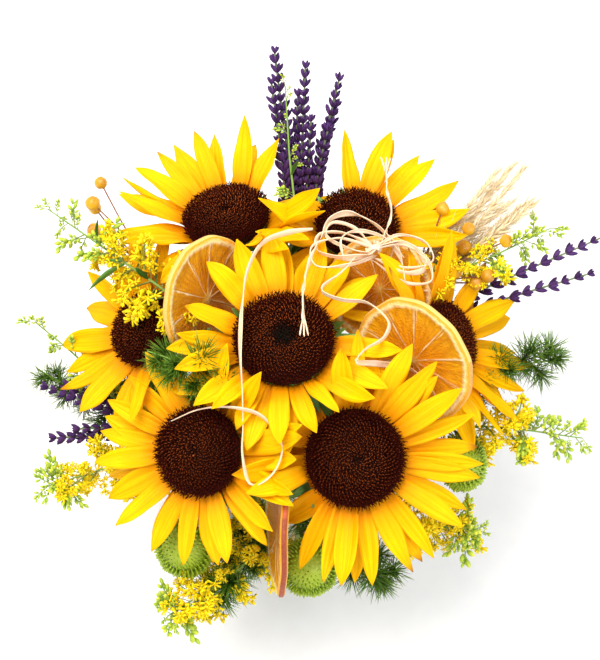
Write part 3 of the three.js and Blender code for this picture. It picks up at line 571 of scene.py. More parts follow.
def stalk_tree():
    """A round stem along a line, ribbed lengthways, with its foot cut flat on the table."""
    sockets = [
        ("Sides", "Int", 8),
        ("Ribs", "Int", 0),
        ("Rib Depth", "Float", 0.0),
        ("Foot", "Bool", False),
        ("Material", "Material", None),
    ]
    tree, given, result = new_tree("stalk", sockets)
    curve = add(tree, "GeometryNodeMeshToCurve", {0: given["Geometry"]}).outputs[0]
    reach = add(tree, "GeometryNodeSplineParameter").outputs["Factor"]
    mark = {0: curve, "Name": "along", "Value": reach}
    marked = add(tree, "GeometryNodeStoreNamedAttribute", mark).outputs[0]
    round_outline = {"Resolution": given["Sides"], "Radius": 1.0}
    ring = add(tree, "GeometryNodeCurvePrimitiveCircle", round_outline).outputs[0]
    turn = add(tree, "GeometryNodeSplineParameter").outputs["Factor"]
    waves = add(tree, "ShaderNodeMath", {0: turn, 1: given["Ribs"]}, operation="MULTIPLY").outputs[0]
    angle = add(tree, "ShaderNodeMath", {0: waves, 1: 2 * math.pi}, operation="MULTIPLY").outputs[0]
    rib = add(tree, "ShaderNodeMath", {0: angle}, operation="COSINE").outputs[0]
    ribbed = {0: rib, 1: given["Rib Depth"], 2: 1.0}
    depth = add(tree, "ShaderNodeMath", ribbed, operation="MULTIPLY_ADD").outputs[0]
    at = add(tree, "GeometryNodeInputPosition").outputs[0]
    pushed = add(tree, "ShaderNodeVectorMath", {0: at, "Scale": depth}, operation="SCALE").outputs[0]
    outline = add(tree, "GeometryNodeSetPosition", {0: ring, "Position": pushed}).outputs[0]
    ring_mark = {0: outline, "Name": "across", "Value": turn}
    marked_ring = add(tree, "GeometryNodeStoreNamedAttribute", ring_mark).outputs[0]
    radius = add(tree, "GeometryNodeInputNamedAttribute", {"Name": "radius"}).outputs[0]
    skin = {0: marked, 1: marked_ring, "Scale": radius, "Fill Caps": True}
    tube = add(tree, "GeometryNodeCurveToMesh", skin).outputs[0]
    height = add(tree, "GeometryNodeInputNamedAttribute", {"Name": "along"}).outputs[0]
    lowest = add(tree, "FunctionNodeCompare", {0: height, 1: 0.0001}, operation="LESS_THAN").outputs[0]
    foot = add(tree, "FunctionNodeBooleanMath", {0: lowest, 1: given["Foot"]}, operation="AND").outputs[0]
    spot = add(tree, "GeometryNodeInputPosition").outputs[0]
    level = add(tree, "ShaderNodeVectorMath", {0: spot, 1: (1, 1, 0)}, operation="MULTIPLY").outputs[0]
    cut = add(tree, "GeometryNodeSetPosition", {0: tube, "Selection": foot, "Position": level}).outputs[0]
    return realized(tree, cut, given, result)


def ribbon_tree():
    """A flat strand along a line, bowed across its width and lying level where it isn't tilted."""
    sockets = [
        ("Width", "Float", RAFFIA_WIDTH * MM),
        ("Thickness", "Float", RAFFIA_THICKNESS * MM),
        ("Bow", "Float", 0.5 * MM),
        ("Material", "Material", None),
    ]
    tree, given, result = new_tree("ribbon", sockets)
    curve = add(tree, "GeometryNodeMeshToCurve", {0: given["Geometry"]}).outputs[0]
    level = add(tree, "GeometryNodeSetCurveNormal", {0: curve}, mode="Z_UP").outputs[0]
    lean = add(tree, "GeometryNodeInputNamedAttribute", {"Name": "tilt"}).outputs[0]
    tilted = add(tree, "GeometryNodeSetCurveTilt", {0: level, "Tilt": lean}).outputs[0]
    reach = add(tree, "GeometryNodeSplineParameter").outputs["Factor"]
    mark = {0: tilted, "Name": "along", "Value": reach}
    marked = add(tree, "GeometryNodeStoreNamedAttribute", mark).outputs[0]
    sizes = {"Width": given["Thickness"], "Height": given["Width"]}
    flat = add(tree, "GeometryNodeCurvePrimitiveQuadrilateral", sizes, mode="RECTANGLE").outputs[0]
    fine = add(tree, "GeometryNodeResampleCurve", {0: flat, "Count": 16}, mode="COUNT").outputs[0]
    at = add(tree, "GeometryNodeInputPosition").outputs[0]
    split = add(tree, "ShaderNodeSeparateXYZ", {0: at}).outputs
    out = add(tree, "ShaderNodeMath", {0: split["Y"], 1: given["Width"]}, operation="DIVIDE").outputs[0]
    square = add(tree, "ShaderNodeMath", {0: out, 1: out}, operation="MULTIPLY").outputs[0]
    bowed = add(tree, "ShaderNodeMath", {0: square, 1: given["Bow"]}, operation="MULTIPLY").outputs[0]
    lifted = add(tree, "ShaderNodeMath", {0: bowed, 1: 4.0}, operation="MULTIPLY").outputs[0]
    offset = add(tree, "ShaderNodeCombineXYZ", {"X": lifted}).outputs[0]
    outline = add(tree, "GeometryNodeSetPosition", {0: fine, "Offset": offset}).outputs[0]
    flat_mark = {0: outline, "Name": "across", "Value": out}
    marked_flat = add(tree, "GeometryNodeStoreNamedAttribute", flat_mark).outputs[0]
    radius = add(tree, "GeometryNodeInputNamedAttribute", {"Name": "radius"}).outputs[0]
    skin = {0: marked, 1: marked_flat, "Scale": radius, "Fill Caps": True}
    strand = add(tree, "GeometryNodeCurveToMesh", skin).outputs[0]
    return realized(tree, strand, given, result)


def sprig_tree():
    """The same small thing again and again round a stem, smaller and smaller to its tip."""
    sockets = [
        ("Piece", "Object", None),
        ("Count", "Int", 12),
        ("First", "Float", 0.0),
        ("Last", "Float", 1.0),
        ("Turn", "Float", GOLDEN_ANGLE),
        ("Lean", "Float", 0.8),
        ("Lean At Tip", "Float", 0.8),
        ("Offset", "Float", 0.0),
        ("Size", "Float", 1.0),
        ("Size At Tip", "Float", 1.0),
        ("Unevenness", "Float", 0.15),
        ("Seed", "Int", 1),
        ("Material", "Material", None),
    ]
    tree, given, result = new_tree("sprig", sockets)
    curve = add(tree, "GeometryNodeMeshToCurve", {0: given["Geometry"]}).outputs[0]
    ends = {0: curve, 2: given["First"], 3: given["Last"]}
    part = add(tree, "GeometryNodeTrimCurve", ends, mode="FACTOR").outputs[0]
    spacing = {0: part, "Count": given["Count"]}
    even = add(tree, "GeometryNodeResampleCurve", spacing, mode="COUNT").outputs[0]
    share = add(tree, "GeometryNodeSplineParameter").outputs["Factor"]
    index = add(tree, "GeometryNodeInputIndex").outputs[0]
    chances = chances_of(tree, given, 4)
    tangent = add(tree, "GeometryNodeInputTangent").outputs[0]
    # kept before the points move, as moving them bends the line
    keep = {0: even, "Name": "ahead", "Value": tangent}
    even = add(tree, "GeometryNodeStoreNamedAttribute", keep, data_type="FLOAT_VECTOR").outputs[0]
    kept_ahead = {"Name": "ahead"}
    ahead = add(tree, "GeometryNodeInputNamedAttribute", kept_ahead, data_type="FLOAT_VECTOR").outputs[0]
    aimed = add(tree, "FunctionNodeAlignRotationToVector", {"Vector": ahead}, axis="Z").outputs[0]
    turned = add(tree, "ShaderNodeMath", {0: index, 1: given["Turn"]}, operation="MULTIPLY").outputs[0]
    jittered = {0: chances[0], 1: 2.5, 2: turned}
    jitter = add(tree, "ShaderNodeMath", jittered, operation="MULTIPLY_ADD").outputs[0]
    spin_euler = add(tree, "ShaderNodeCombineXYZ", {"Z": jitter}).outputs[0]
    spin = add(tree, "FunctionNodeEulerToRotation", {0: spin_euler}).outputs[0]
    spun = add(tree, "FunctionNodeRotateRotation", {0: aimed, 1: spin}, rotation_space="LOCAL").outputs[0]
    lean_ends = {0: share, 2: given["Lean"], 3: given["Lean At Tip"]}
    lean = add(tree, "ShaderNodeMix", lean_ends).outputs[0]
    leant = add(tree, "ShaderNodeMath", {0: lean, 1: chances[1]}, operation="ADD").outputs[0]
    lean_euler = add(tree, "ShaderNodeCombineXYZ", {"X": leant}).outputs[0]
    tip_over = add(tree, "FunctionNodeEulerToRotation", {0: lean_euler}).outputs[0]
    leant_over = {0: spun, 1: tip_over}
    final = add(tree, "FunctionNodeRotateRotation", leant_over, rotation_space="LOCAL").outputs[0]
    back = add(tree, "ShaderNodeMath", {0: given["Offset"], 1: -1.0}, operation="MULTIPLY").outputs[0]
    out = add(tree, "ShaderNodeCombineXYZ", {"Y": back}).outputs[0]
    step = add(tree, "FunctionNodeRotateVector", {0: out, 1: spun}).outputs[0]
    moved = add(tree, "GeometryNodeSetPosition", {0: even, "Offset": step}).outputs[0]
    size = add(tree, "ShaderNodeMix", {0: share, 2: given["Size"], 3: given["Size At Tip"]}).outputs[0]
    more = add(tree, "ShaderNodeMath", {0: chances[2], 1: 1.0}, operation="ADD").outputs[0]
    scaled = add(tree, "ShaderNodeMath", {0: size, 1: more}, operation="MULTIPLY").outputs[0]
    shape = add(tree, "GeometryNodeObjectInfo", {0: given["Piece"], 1: True}).outputs["Geometry"]
    copies = {0: moved, "Instance": shape, "Rotation": final, "Scale": scaled}
    copy = add(tree, "GeometryNodeInstanceOnPoints", copies).outputs[0]
    tint = add(tree, "ShaderNodeMath", {0: chances[3], 1: 3.0, 2: 0.5}, operation="MULTIPLY_ADD").outputs[0]
    tint_mark = {0: copy, "Name": "shade", "Value": tint}
    tinted = add(tree, "GeometryNodeStoreNamedAttribute", tint_mark, domain="INSTANCE").outputs[0]
    real = add(tree, "GeometryNodeRealizeInstances", {0: tinted}).outputs[0]
    bare = add(tree, "GeometryNodeRemoveAttribute", {0: real, "Name": "ahead"}).outputs[0]
    done = add(tree, "GeometryNodeSetMaterial", {0: bare, "Material": given["Material"]}).outputs[0]
    tree.links.new(done, result[0])
    return tree


def dome_tree():
    """Florets packed on a dome at the golden angle, as they grow in a flower head."""
    sockets = [
        ("Piece", "Object", None),
        ("Total", "Int", 400),
        ("First", "Int", 0),
        ("Last", "Int", 400),
        ("Radius", "Float", 0.1),
        ("Spread", "Float", 0.3),
        ("Lean", "Float", 0.0),
        ("Size", "Float", 1.0),
        ("Size At Rim", "Float", 1.0),
        ("Unevenness", "Float", 0.15),
        ("Seed", "Int", 1),
        ("Material", "Material", None),
    ]
    tree, given, result = new_tree("dome", sockets)
    numbers = {0: given["Last"], 1: given["First"]}
    count = add(tree, "ShaderNodeMath", numbers, operation="SUBTRACT").outputs[0]
    index = add(tree, "GeometryNodeInputIndex").outputs[0]
    rank = add(tree, "ShaderNodeMath", {0: index, 1: given["First"]}, operation="ADD").outputs[0]
    part = add(tree, "ShaderNodeMath", {0: rank, 1: given["Total"]}, operation="DIVIDE").outputs[0]
    share = add(tree, "ShaderNodeMath", {0: part}, operation="SQRT").outputs[0]
    polar = add(tree, "ShaderNodeMath", {0: share, 1: given["Spread"]}, operation="MULTIPLY").outputs[0]
    turn = add(tree, "ShaderNodeMath", {0: rank, 1: GOLDEN_ANGLE}, operation="MULTIPLY").outputs[0]
    stand = add(tree, "ShaderNodeCombineXYZ", {"Y": polar, "Z": turn}).outputs[0]
    upright = add(tree, "FunctionNodeEulerToRotation", {0: stand}).outputs[0]
    spoke = add(tree, "ShaderNodeCombineXYZ", {"Z": given["Radius"]}).outputs[0]
    on_ball = add(tree, "FunctionNodeRotateVector", {0: spoke, 1: upright}).outputs[0]
    at = add(tree, "ShaderNodeVectorMath", {0: on_ball, 1: spoke}, operation="SUBTRACT").outputs[0]
    points = add(tree, "GeometryNodePoints", {"Count": count, "Position": at}).outputs[0]
    chances = chances_of(tree, given, 3)
    share_mark = {0: points, "Name": "share", "Value": share}
    kept = add(tree, "GeometryNodeStoreNamedAttribute", share_mark).outputs[0]
    leaning_out = {0: share, 1: given["Lean"], 2: chances[0]}
    lean = add(tree, "ShaderNodeMath", leaning_out, operation="MULTIPLY_ADD").outputs[0]
    bowed = add(tree, "ShaderNodeMath", {0: polar, 1: lean}, operation="ADD").outputs[0]
    fall = add(tree, "ShaderNodeCombineXYZ", {"Y": bowed, "Z": turn}).outputs[0]
    facing = add(tree, "FunctionNodeEulerToRotation", {0: fall}).outputs[0]
    size = add(tree, "ShaderNodeMix", {0: share, 2: given["Size"], 3: given["Size At Rim"]}).outputs[0]
    more = add(tree, "ShaderNodeMath", {0: chances[1], 1: 1.0}, operation="ADD").outputs[0]
    scaled = add(tree, "ShaderNodeMath", {0: size, 1: more}, operation="MULTIPLY").outputs[0]
    shape = add(tree, "GeometryNodeObjectInfo", {0: given["Piece"], 1: True}).outputs["Geometry"]
    copies = {0: kept, "Instance": shape, "Rotation": facing, "Scale": scaled}
    copy = add(tree, "GeometryNodeInstanceOnPoints", copies).outputs[0]
    tint = add(tree, "ShaderNodeMath", {0: chances[2], 1: 2.5, 2: 0.5}, operation="MULTIPLY_ADD").outputs[0]
    tint_mark = {0: copy, "Name": "shade", "Value": tint}
    tinted = add(tree, "GeometryNodeStoreNamedAttribute", tint_mark, domain="INSTANCE").outputs[0]
    return realized(tree, tinted, given, result)


STALK, RIBBON, SPRIG, DOME_OF_FLORETS = stalk_tree(), ribbon_tree(), sprig_tree(), dome_tree()


def stalk(route, radius, material, sides=8, ribs=0, rib_depth=0.0, foot=True):
    radii = np.broadcast_to(np.asarray(radius, float), (len(route),)) * MM
    host = line_host(route, radius=radii)
    sizes = {"Sides": sides, "Ribs": ribs, "Rib Depth": rib_depth, "Foot": foot, "Material": material}
    mesh = grown(host, STALK, **sizes)
    shade = mesh.attributes.new("shade", "FLOAT", "POINT")
    shade.data.foreach_set("value", np.full(len(mesh.vertices), 0.5, np.float32))
    mesh.shade_smooth()
    return mesh


# ================================================================ materials


def material_of(name, **settings):
    """A new material with its shader, and the attributes that patterns follow."""
    material = bpy.data.materials.new(name)
    material.use_nodes = True
    tree = material.node_tree
    shader = tree.nodes["Principled BSDF"]
    for key, value in settings.items():
        shader.inputs[key.replace("_", " ")].default_value = value
    marks = {}
    for key in ("along", "across", "shade", "share"):
        marks[key] = add(tree, "ShaderNodeAttribute", attribute_name=key).outputs["Fac"]
    marks["place"] = add(tree, "ShaderNodeTexCoord").outputs["Object"]
    return material, tree, shader, marks


def ray_petal():
    """Ray floret of a sunflower: thin, silky, pleated along its veins, deeper orange at its foot, partly as
    painted shade.
    """
    material, tree, shader, marks = material_of(
        "sunflower_ray_petal", Roughness=0.55, Subsurface_Weight=0.1, Subsurface_Scale=0.002,
        Specular_IOR_Level=0.08,
    )
    shader.inputs["Subsurface Radius"].default_value = (1.0, 0.55, 0.08)
    # deeper orange towards the foot: partly the petal's own colour, partly painted shade where the foot lies
    # under the rim of the disc
    stops = [(0.0, "#B05A00"), (0.14, "#E08A00"), (0.36, "#FBB800"), (0.7, "#FFCC00"), (1.0, "#FBC000")]
    base = add(tree, "ShaderNodeValToRGB", {0: marks["along"]}, stops=stops).outputs[0]
    spot_on_petal = {"X": marks["across"], "Y": marks["along"], "Z": marks["shade"]}
    vein_place = add(tree, "ShaderNodeCombineXYZ", spot_on_petal).outputs[0]
    # about fourteen veins across 13 mm, each running the whole petal
    stretch = add(tree, "ShaderNodeMapping", {0: vein_place, "Scale": (7, 0.9, 11)}).outputs[0]
    vein_noise = {0: stretch, "Scale": 1.0, "Detail": 4.0, "Roughness": 0.6}
    veins = add(tree, "ShaderNodeTexNoise", vein_noise).outputs[0]
    patch = add(tree, "ShaderNodeTexNoise", {0: marks["place"], "Scale": 70.0, "Detail": 3.0}).outputs[0]
    dark = add(tree, "ShaderNodeMapRange", {0: veins, 1: 0.35, 2: 0.62, 3: 0.55, 4: 0.0}).outputs[0]
    veined = add(tree, "ShaderNodeMix", {0: dark, 6: base, 7: linear("#DE9400")}, data_type="RGBA").outputs[2]
    # patches of deeper orange from each petal's shade value, raised on some whole heads: partly age, partly
    # painted shade on heads the light reaches less
    age_and_shade_patches = add(tree, "ShaderNodeMath", {0: marks["shade"], 1: patch}, operation="MULTIPLY").outputs[0]
    aged_and_shaded = add(tree, "ShaderNodeMapRange", {0: age_and_shade_patches, 1: 0.2, 2: 0.75, 3: 0.0, 4: 0.7}).outputs[0]
    deep = add(tree, "ShaderNodeMix", {0: aged_and_shaded, 6: veined, 7: linear("#F8A600")}, data_type="RGBA").outputs[2]
    tip = add(tree, "ShaderNodeMath", {0: marks["along"], 1: marks["shade"]}, operation="MULTIPLY").outputs[0]
    dry = add(tree, "ShaderNodeMapRange", {0: tip, 1: 0.84, 2: 0.97, 3: 0.0, 4: 0.8}).outputs[0]
    colour = add(tree, "ShaderNodeMix", {0: dry, 6: deep, 7: linear("#8A4B10")}, data_type="RGBA").outputs[2]
    tree.links.new(colour, shader.inputs["Base Color"])
    bump = {"Strength": 0.55, "Distance": 0.0006, "Height": veins}
    tree.links.new(add(tree, "ShaderNodeBump", bump).outputs[0], shader.inputs["Normal"])
    return material


def speckled(name, stops, grain, spot, bump=0.4, **settings):
    """Plant skin that goes from one colour to another along itself, with spots of a third."""
    material, tree, shader, marks = material_of(name, **settings)
    base = add(tree, "ShaderNodeValToRGB", {0: marks["along"]}, stops=stops).outputs[0]
    noise = add(tree, "ShaderNodeTexNoise", {0: marks["place"], "Scale": grain, "Detail": 4.0}).outputs[0]
    mixed = add(tree, "ShaderNodeMath", {0: marks["shade"], 1: noise}, operation="MULTIPLY").outputs[0]
    some = add(tree, "ShaderNodeMapRange", {0: mixed, 1: 0.12, 2: 0.55, 3: 0.0, 4: 0.85}).outputs[0]
    colour = add(tree, "ShaderNodeMix", {0: some, 6: base, 7: linear(spot)}, data_type="RGBA").outputs[2]
    tree.links.new(colour, shader.inputs["Base Color"])
    middle = shader.inputs["Roughness"].default_value
    rough = add(tree, "ShaderNodeMapRange", {0: noise, 3: middle - 0.12, 4: middle + 0.12}).outputs[0]
    tree.links.new(rough, shader.inputs["Roughness"])
    height = {"Strength": bump, "Distance": 0.0005, "Height": noise}
    tree.links.new(add(tree, "ShaderNodeBump", height).outputs[0], shader.inputs["Normal"])
    return material


def disc_floret():
    """Disc florets: near-black in the middle, dark red-brown further out, with rust-coloured tips."""
    material, tree, shader, marks = material_of(
        "sunflower_disc_floret", Roughness=0.6, Specular_IOR_Level=0.06
    )
    stops = [(0.0, "#0C1408"), (0.16, "#120E06"), (0.27, "#300C04"), (0.62, "#340B04"), (1.0, "#420E06")]
    base = add(tree, "ShaderNodeValToRGB", {0: marks["share"]}, stops=stops).outputs[0]
    tip = add(tree, "ShaderNodeMath", {0: marks["along"], 1: marks["shade"]}, operation="MULTIPLY").outputs[0]
    rings = [(0.1, "#202020"), (0.3, "#FFFFFF"), (0.75, "#D8D8D8"), (1.0, "#909090")]
    band = add(tree, "ShaderNodeValToRGB", {0: marks["share"]}, stops=rings)
    rust = add(tree, "ShaderNodeMath", {0: tip, 1: band.outputs[0]}, operation="MULTIPLY").outputs[0]
    some = add(tree, "ShaderNodeMapRange", {0: rust, 1: 0.4, 2: 0.82, 3: 0.0, 4: 1.0}).outputs[0]
    colour = add(tree, "ShaderNodeMix", {0: some, 6: base, 7: linear("#C4622A")}, data_type="RGBA").outputs[2]
    tree.links.new(colour, shader.inputs["Base Color"])
    noise = add(tree, "ShaderNodeTexNoise", {0: marks["place"], "Scale": 900.0}).outputs[0]
    bump = {"Strength": 0.3, "Distance": 0.0003, "Height": noise}
    tree.links.new(add(tree, "ShaderNodeBump", bump).outputs[0], shader.inputs["Normal"])
    return material


def dried_orange():
    """Oven-dried orange: glassy amber cells between pale walls, cream pith, pored rind."""
    material, tree, shader, marks = material_of(
        "dried_orange",
        Roughness=0.42, Subsurface_Weight=0.08, Subsurface_Scale=0.002, Specular_IOR_Level=0.25,
    )
    shader.inputs["Subsurface Radius"].default_value = (1.0, 0.6, 0.12)
    fray = add(tree, "ShaderNodeTexNoise", {0: marks["place"], "Scale": 260.0, "Detail": 3.0}).outputs[0]
    frayed = {0: fray, 1: 0.06, 2: marks["share"]}
    ragged = add(tree, "ShaderNodeMath", frayed, operation="MULTIPLY_ADD").outputs[0]
    stops = [
        (0.0, "#FBE2A0"), (0.09, "#E8AE38"), (0.17, "#D68600"), (0.5, "#DC8E00"), (0.88, "#E8A40C"),
        (0.93, "#FBE6AA"), (0.965, "#F6D27E"), (0.99, "#E8A428"),
    ]
    rings = add(tree, "ShaderNodeValToRGB", {0: ragged}, stops=stops).outputs[0]
    wander = add(tree, "ShaderNodeTexNoise", {0: marks["place"], "Scale": 90.0, "Detail": 3.0}).outputs[0]
    shifted = add(tree, "ShaderNodeMath", {0: wander, 1: 0.5, 2: -0.25}, operation="MULTIPLY_ADD").outputs[0]
    bent = add(tree, "ShaderNodeMath", {0: marks["across"], 1: shifted}, operation="ADD").outputs[0]
    wall = add(tree, "ShaderNodeMath", {0: bent}, operation="ABSOLUTE").outputs[0]
    inside = add(tree, "ShaderNodeMapRange", {0: marks["share"], 1: 0.9, 2: 0.93, 3: 1.0, 4: 0.0}).outputs[0]
    pale = add(tree, "ShaderNodeMapRange", {0: wall, 1: 0.84, 2: 0.97, 3: 0.0, 4: 0.85}).outputs[0]
    membrane = add(tree, "ShaderNodeMath", {0: pale, 1: inside}, operation="MULTIPLY").outputs[0]
    skins = {0: membrane, 6: rings, 7: linear("#FFEFC4")}
    walled = add(tree, "ShaderNodeMix", skins, data_type="RGBA").outputs[2]
    # juice cells about 1 mm wide and 6 mm long, pointing at the core
    spot_in_wedge = {"X": marks["across"], "Y": marks["share"], "Z": marks["shade"]}
    cell_place = add(tree, "ShaderNodeCombineXYZ", spot_in_wedge).outputs[0]
    cell_map = add(tree, "ShaderNodeMapping", {0: cell_place, "Scale": (4.5, 6, 20)}).outputs[0]
    cells = add(tree, "ShaderNodeTexVoronoi", {0: cell_map, "Scale": 1.0}, feature="F1").outputs["Distance"]
    glow = add(tree, "ShaderNodeMath", {0: cells, 1: inside}, operation="MULTIPLY").outputs[0]
    amber = add(tree, "ShaderNodeMapRange", {0: glow, 1: 0.25, 2: 0.8, 3: 0.0, 4: 0.45}).outputs[0]
    ambered = {0: amber, 6: walled, 7: linear("#B05E00")}
    colour = add(tree, "ShaderNodeMix", ambered, data_type="RGBA").outputs[2]
    tree.links.new(colour, shader.inputs["Base Color"])
    pores = add(tree, "ShaderNodeTexVoronoi", {0: marks["place"], "Scale": 900.0}).outputs["Distance"]
    relief = add(tree, "ShaderNodeMath", {0: cells, 1: inside, 2: pores}, operation="MULTIPLY_ADD").outputs[0]
    bump = {"Strength": 0.6, "Distance": 0.0008, "Height": relief}
    tree.links.new(add(tree, "ShaderNodeBump", bump).outputs[0], shader.inputs["Normal"])
    return material


def raffia_straw():
    """Raffia: dried palm leaf, matt and creamy, split into fine fibres along its length."""
    material, tree, shader, marks = material_of(
        "raffia_straw", Roughness=0.7, Subsurface_Weight=0.08, Subsurface_Scale=0.002
    )
    place = add(tree, "ShaderNodeCombineXYZ", {"X": marks["across"], "Y": marks["along"]}).outputs[0]
    # fibres about 0.3 mm apart
    stretch = add(tree, "ShaderNodeMapping", {0: place, "Scale": (16, 9, 1)}).outputs[0]
    fibres = add(tree, "ShaderNodeTexNoise", {0: stretch, "Scale": 1.0, "Detail": 3.0}).outputs[0]
    stops = [(0.25, "#D8A678"), (0.5, "#FADFBE"), (0.75, "#FFF0DA")]
    colour = add(tree, "ShaderNodeValToRGB", {0: fibres}, stops=stops).outputs[0]
    tree.links.new(colour, shader.inputs["Base Color"])
    bump = {"Strength": 0.6, "Distance": 0.0004, "Height": fibres}
    tree.links.new(add(tree, "ShaderNodeBump", bump).outputs[0], shader.inputs["Normal"])
    return material


PETAL, FLORET, ORANGE, RAFFIA = ray_petal(), disc_floret(), dried_orange(), raffia_straw()
# hairy green stem, paler and woodier towards its cut end
STEM = speckled(
    "sunflower_stem_skin", [(0.0, "#B9BE7C"), (0.2, "#7E9A48"), (1.0, "#5E8A35")],
    420, "#8FA65A", 0.7, Roughness=0.62,
)
# soft downy leaf green of the cup and its bracts
BRACT = speckled(
    "sunflower_bract", [(0.0, "#4C7A2A"), (0.7, "#5D9232"), (1.0, "#8DB04A")],
    300, "#39661F", 0.6, Roughness=0.6,
)
LEAF = speckled("goldenrod_leaf", [(0.0, "#3A6A22"), (1.0, "#2F5D1E")], 160, "#5E8E38", 0.5, Roughness=0.48)
TWIG = speckled(
    "goldenrod_stalk", [(0.0, "#8C8446"), (0.4, "#6C8A36"), (1.0, "#6FA033")],
    300, "#93A94E", 0.4, Roughness=0.6,
)
# a goldenrod floret is a few strap petals round a pollen-dusted middle
ROD_FLORET = speckled(
    "goldenrod_floret", [(0.0, "#B9C828"), (0.35, "#FFE000"), (1.0, "#FFEC10")],
    600, "#FFD800", 0.2, Roughness=0.6, Specular_IOR_Level=0.3,
)
ROD_BUD = speckled(
    "goldenrod_bud", [(0.0, "#86A838"), (0.6, "#B5CC3A"), (1.0, "#E6E040")],
    600, "#A3C038", 0.3, Roughness=0.6,
)
# dried calyx of lavender, violet with a grey bloom, greener at its foot
LAVENDER_BUD = speckled(
    "lavender_calyx", [(0.0, "#4A3A50"), (0.25, "#432458"), (0.8, "#35194A"), (1.0, "#55306E")],
    700, "#5E3C7A", 0.5, Roughness=0.78, Specular_IOR_Level=0.25,
)
LAVENDER_STEM = speckled(
    "lavender_stalk", [(0.0, "#8F9368"), (1.0, "#72805C")],
    300, "#5D6B4C", 0.4, Roughness=0.7,
)
NEEDLE = speckled(
    "asparagus_needle", [(0.0, "#34580A"), (0.6, "#527A16"), (1.0, "#86A238")],
    300, "#44700F", 0.2, Roughness=0.5, Specular_IOR_Level=0.25,
)
BUTTON = speckled(
    "chrysanthemum_floret", [(0.0, "#567608"), (0.45, "#8AAC14"), (1.0, "#BCD03A")],
    400, "#98B820", 0.3, Roughness=0.5,
)
# ripe flax boll: thin brown-gold shell with a satin shine
BOLL = speckled(
    "flax_boll", [(0.0, "#B8860F"), (0.5, "#F0BC28"), (1.0, "#C88A14")],
    260, "#B47810", 0.4, Roughness=0.38,
)
BOLL_STALK = speckled(
    "flax_stalk", [(0.0, "#8E6A3A"), (1.0, "#8A4A2A")],
    300, "#6E3A20", 0.3, Roughness=0.6,
)
HUSK = speckled(
    "grass_husk", [(0.0, "#DDBF84"), (0.3, "#F6E4BC"), (1.0, "#FFF6E2")],
    500, "#EBD3A2", 0.4, Roughness=0.6,
)
CANE = speckled("split_cane", [(0.0, "#C9A46A"), (1.0, "#D9B981")], 250, "#A98450", 0.4, Roughness=0.55)
# orange zest dried hard: pored skin, golden where thin and rusty where it browned
RIND = speckled("orange_rind", [(0.0, "#F0C468"), (1.0, "#F0C468")], 900, "#D08A2C", 0.8, Roughness=0.5)
RIND_DARK = speckled(
    "orange_rind_browned", [(0.0, "#B4532A"), (1.0, "#B4532A")],
    900, "#7E3014", 0.8, Roughness=0.55,
)
FELT = speckled(
    "disc_felt", [(0.0, "#160704"), (1.0, "#1E0A06")],
    500, "#2E1008", 0.6, Roughness=0.8, Specular_IOR_Level=0.1,
)

# ================================================================ raffia, the cords first


def ribbon(places, seed, width=RAFFIA_WIDTH, count=90, tilt=0.0, swing=0.35, raw=False):
    """A strand of raffia along a route, rolling a little from side to side as it goes."""
    route = np.asarray(places, float) if raw else smooth_route([around(p) for p in places], count)
    share = np.linspace(0, 1, len(route))
    roll = tilt + swing * np.sin(share * 11 + seed) + 0.5 * swing * np.sin(share * 29 + 2.3 * seed)
    narrow = np.minimum(1, 0.35 + 6 * np.minimum(share, 1 - share) / 0.5)
    breadth = narrow * (1 + 0.12 * np.sin(share * 17 + 1.7 * seed))
    host = line_host(route, radius=breadth, tilt=roll)
    sizes = {"Width": width * MM, "Thickness": RAFFIA_THICKNESS * MM, "Bow": 0.45 * MM, "Material": RAFFIA}
    mesh = grown(host, RIBBON, **sizes)
    mesh.shade_smooth()
    return mesh, route


def frays(route, seed, count=3):
    """The end of a strand, split into a few thin fibres."""
    end, ahead = route[-1], route[-1] - route[-6]
    ahead /= np.linalg.norm(ahead)
    side = np.cross(ahead, (0, 0, 1))
    meshes = []
    for k in range(count):
        out = (k - (count - 1) / 2) * 1.3 + 0.5 * uneven(seed + k)
        start = end - ahead * 6 + side * out * 0.5
        stop = end + ahead * (3 + 2 * uneven(seed * 3 + k)) + side * out * 2.2
        fibre = smooth_route([start, (start + stop) / 2 + (0, 0, 0.8), stop], 10)
        meshes.append(ribbon(fibre, seed + k, width=0.9, raw=True)[0])
    return meshes


for name, places, seed in (("left", TRAIL_LEFT, 1), ("right", TRAIL_RIGHT, 4)):
    strand, route = ribbon(places, seed, count=130)
    piece = finished(f"raffia_trail_{name}_strand", [strand], f"raffia_trail_{name}")

bow = [ribbon(places, 7 + k, count=60) for k, places in enumerate(BOW)]
bow_meshes = [mesh for mesh, _ in bow]
for k in (3, 4):
    bow_meshes += frays(bow[k][1], 20 + k)
knot_at = around(BOW_KNOT)
# more loops like the first three, as size, turn about the knot and lift
MORE_LOOPS = [(1.12, 10, 3), (0.86, -20, 1), (0.66, 35, 4), (1.2, -8, -1), (1.15, 18, 3)]
for k, (size, turn, lift) in enumerate(MORE_LOOPS):
    places = np.array([around(place) for place in BOW[k % 3]]) - knot_at
    c, d = math.cos(math.radians(turn)), math.sin(math.radians(turn))
    loop = size * places @ np.array([[c, d, 0], [-d, c, 0], [0, 0, 1]]) + knot_at
    loop[1:-1, 2] += lift
    loop = smooth_route(list(loop), 50)
    bow_meshes.append(ribbon(loop, 60 + k, width=2.6, raw=True)[0])
for turn, lift in ((0.2, 0.6), (0.75, 0.0)):
    spin = np.linspace(0, 2 * math.pi * 1.15, 34)
    across = np.array([math.cos(turn), math.sin(turn), 0])
    loop = knot_at + 3.4 * np.outer(np.cos(spin), across) + 3.0 * np.outer(np.sin(spin), (0, 0, 1))
    loop += np.outer(np.linspace(-2, 2, 34), (-across[1], across[0], 0)) + (0, 0, lift)
    bow_meshes.append(ribbon(loop, 30 + turn, width=4, tilt=math.pi / 2, swing=0.1, raw=True)[0])
finished("raffia_bow_loops", bow_meshes, "raffia_bow")

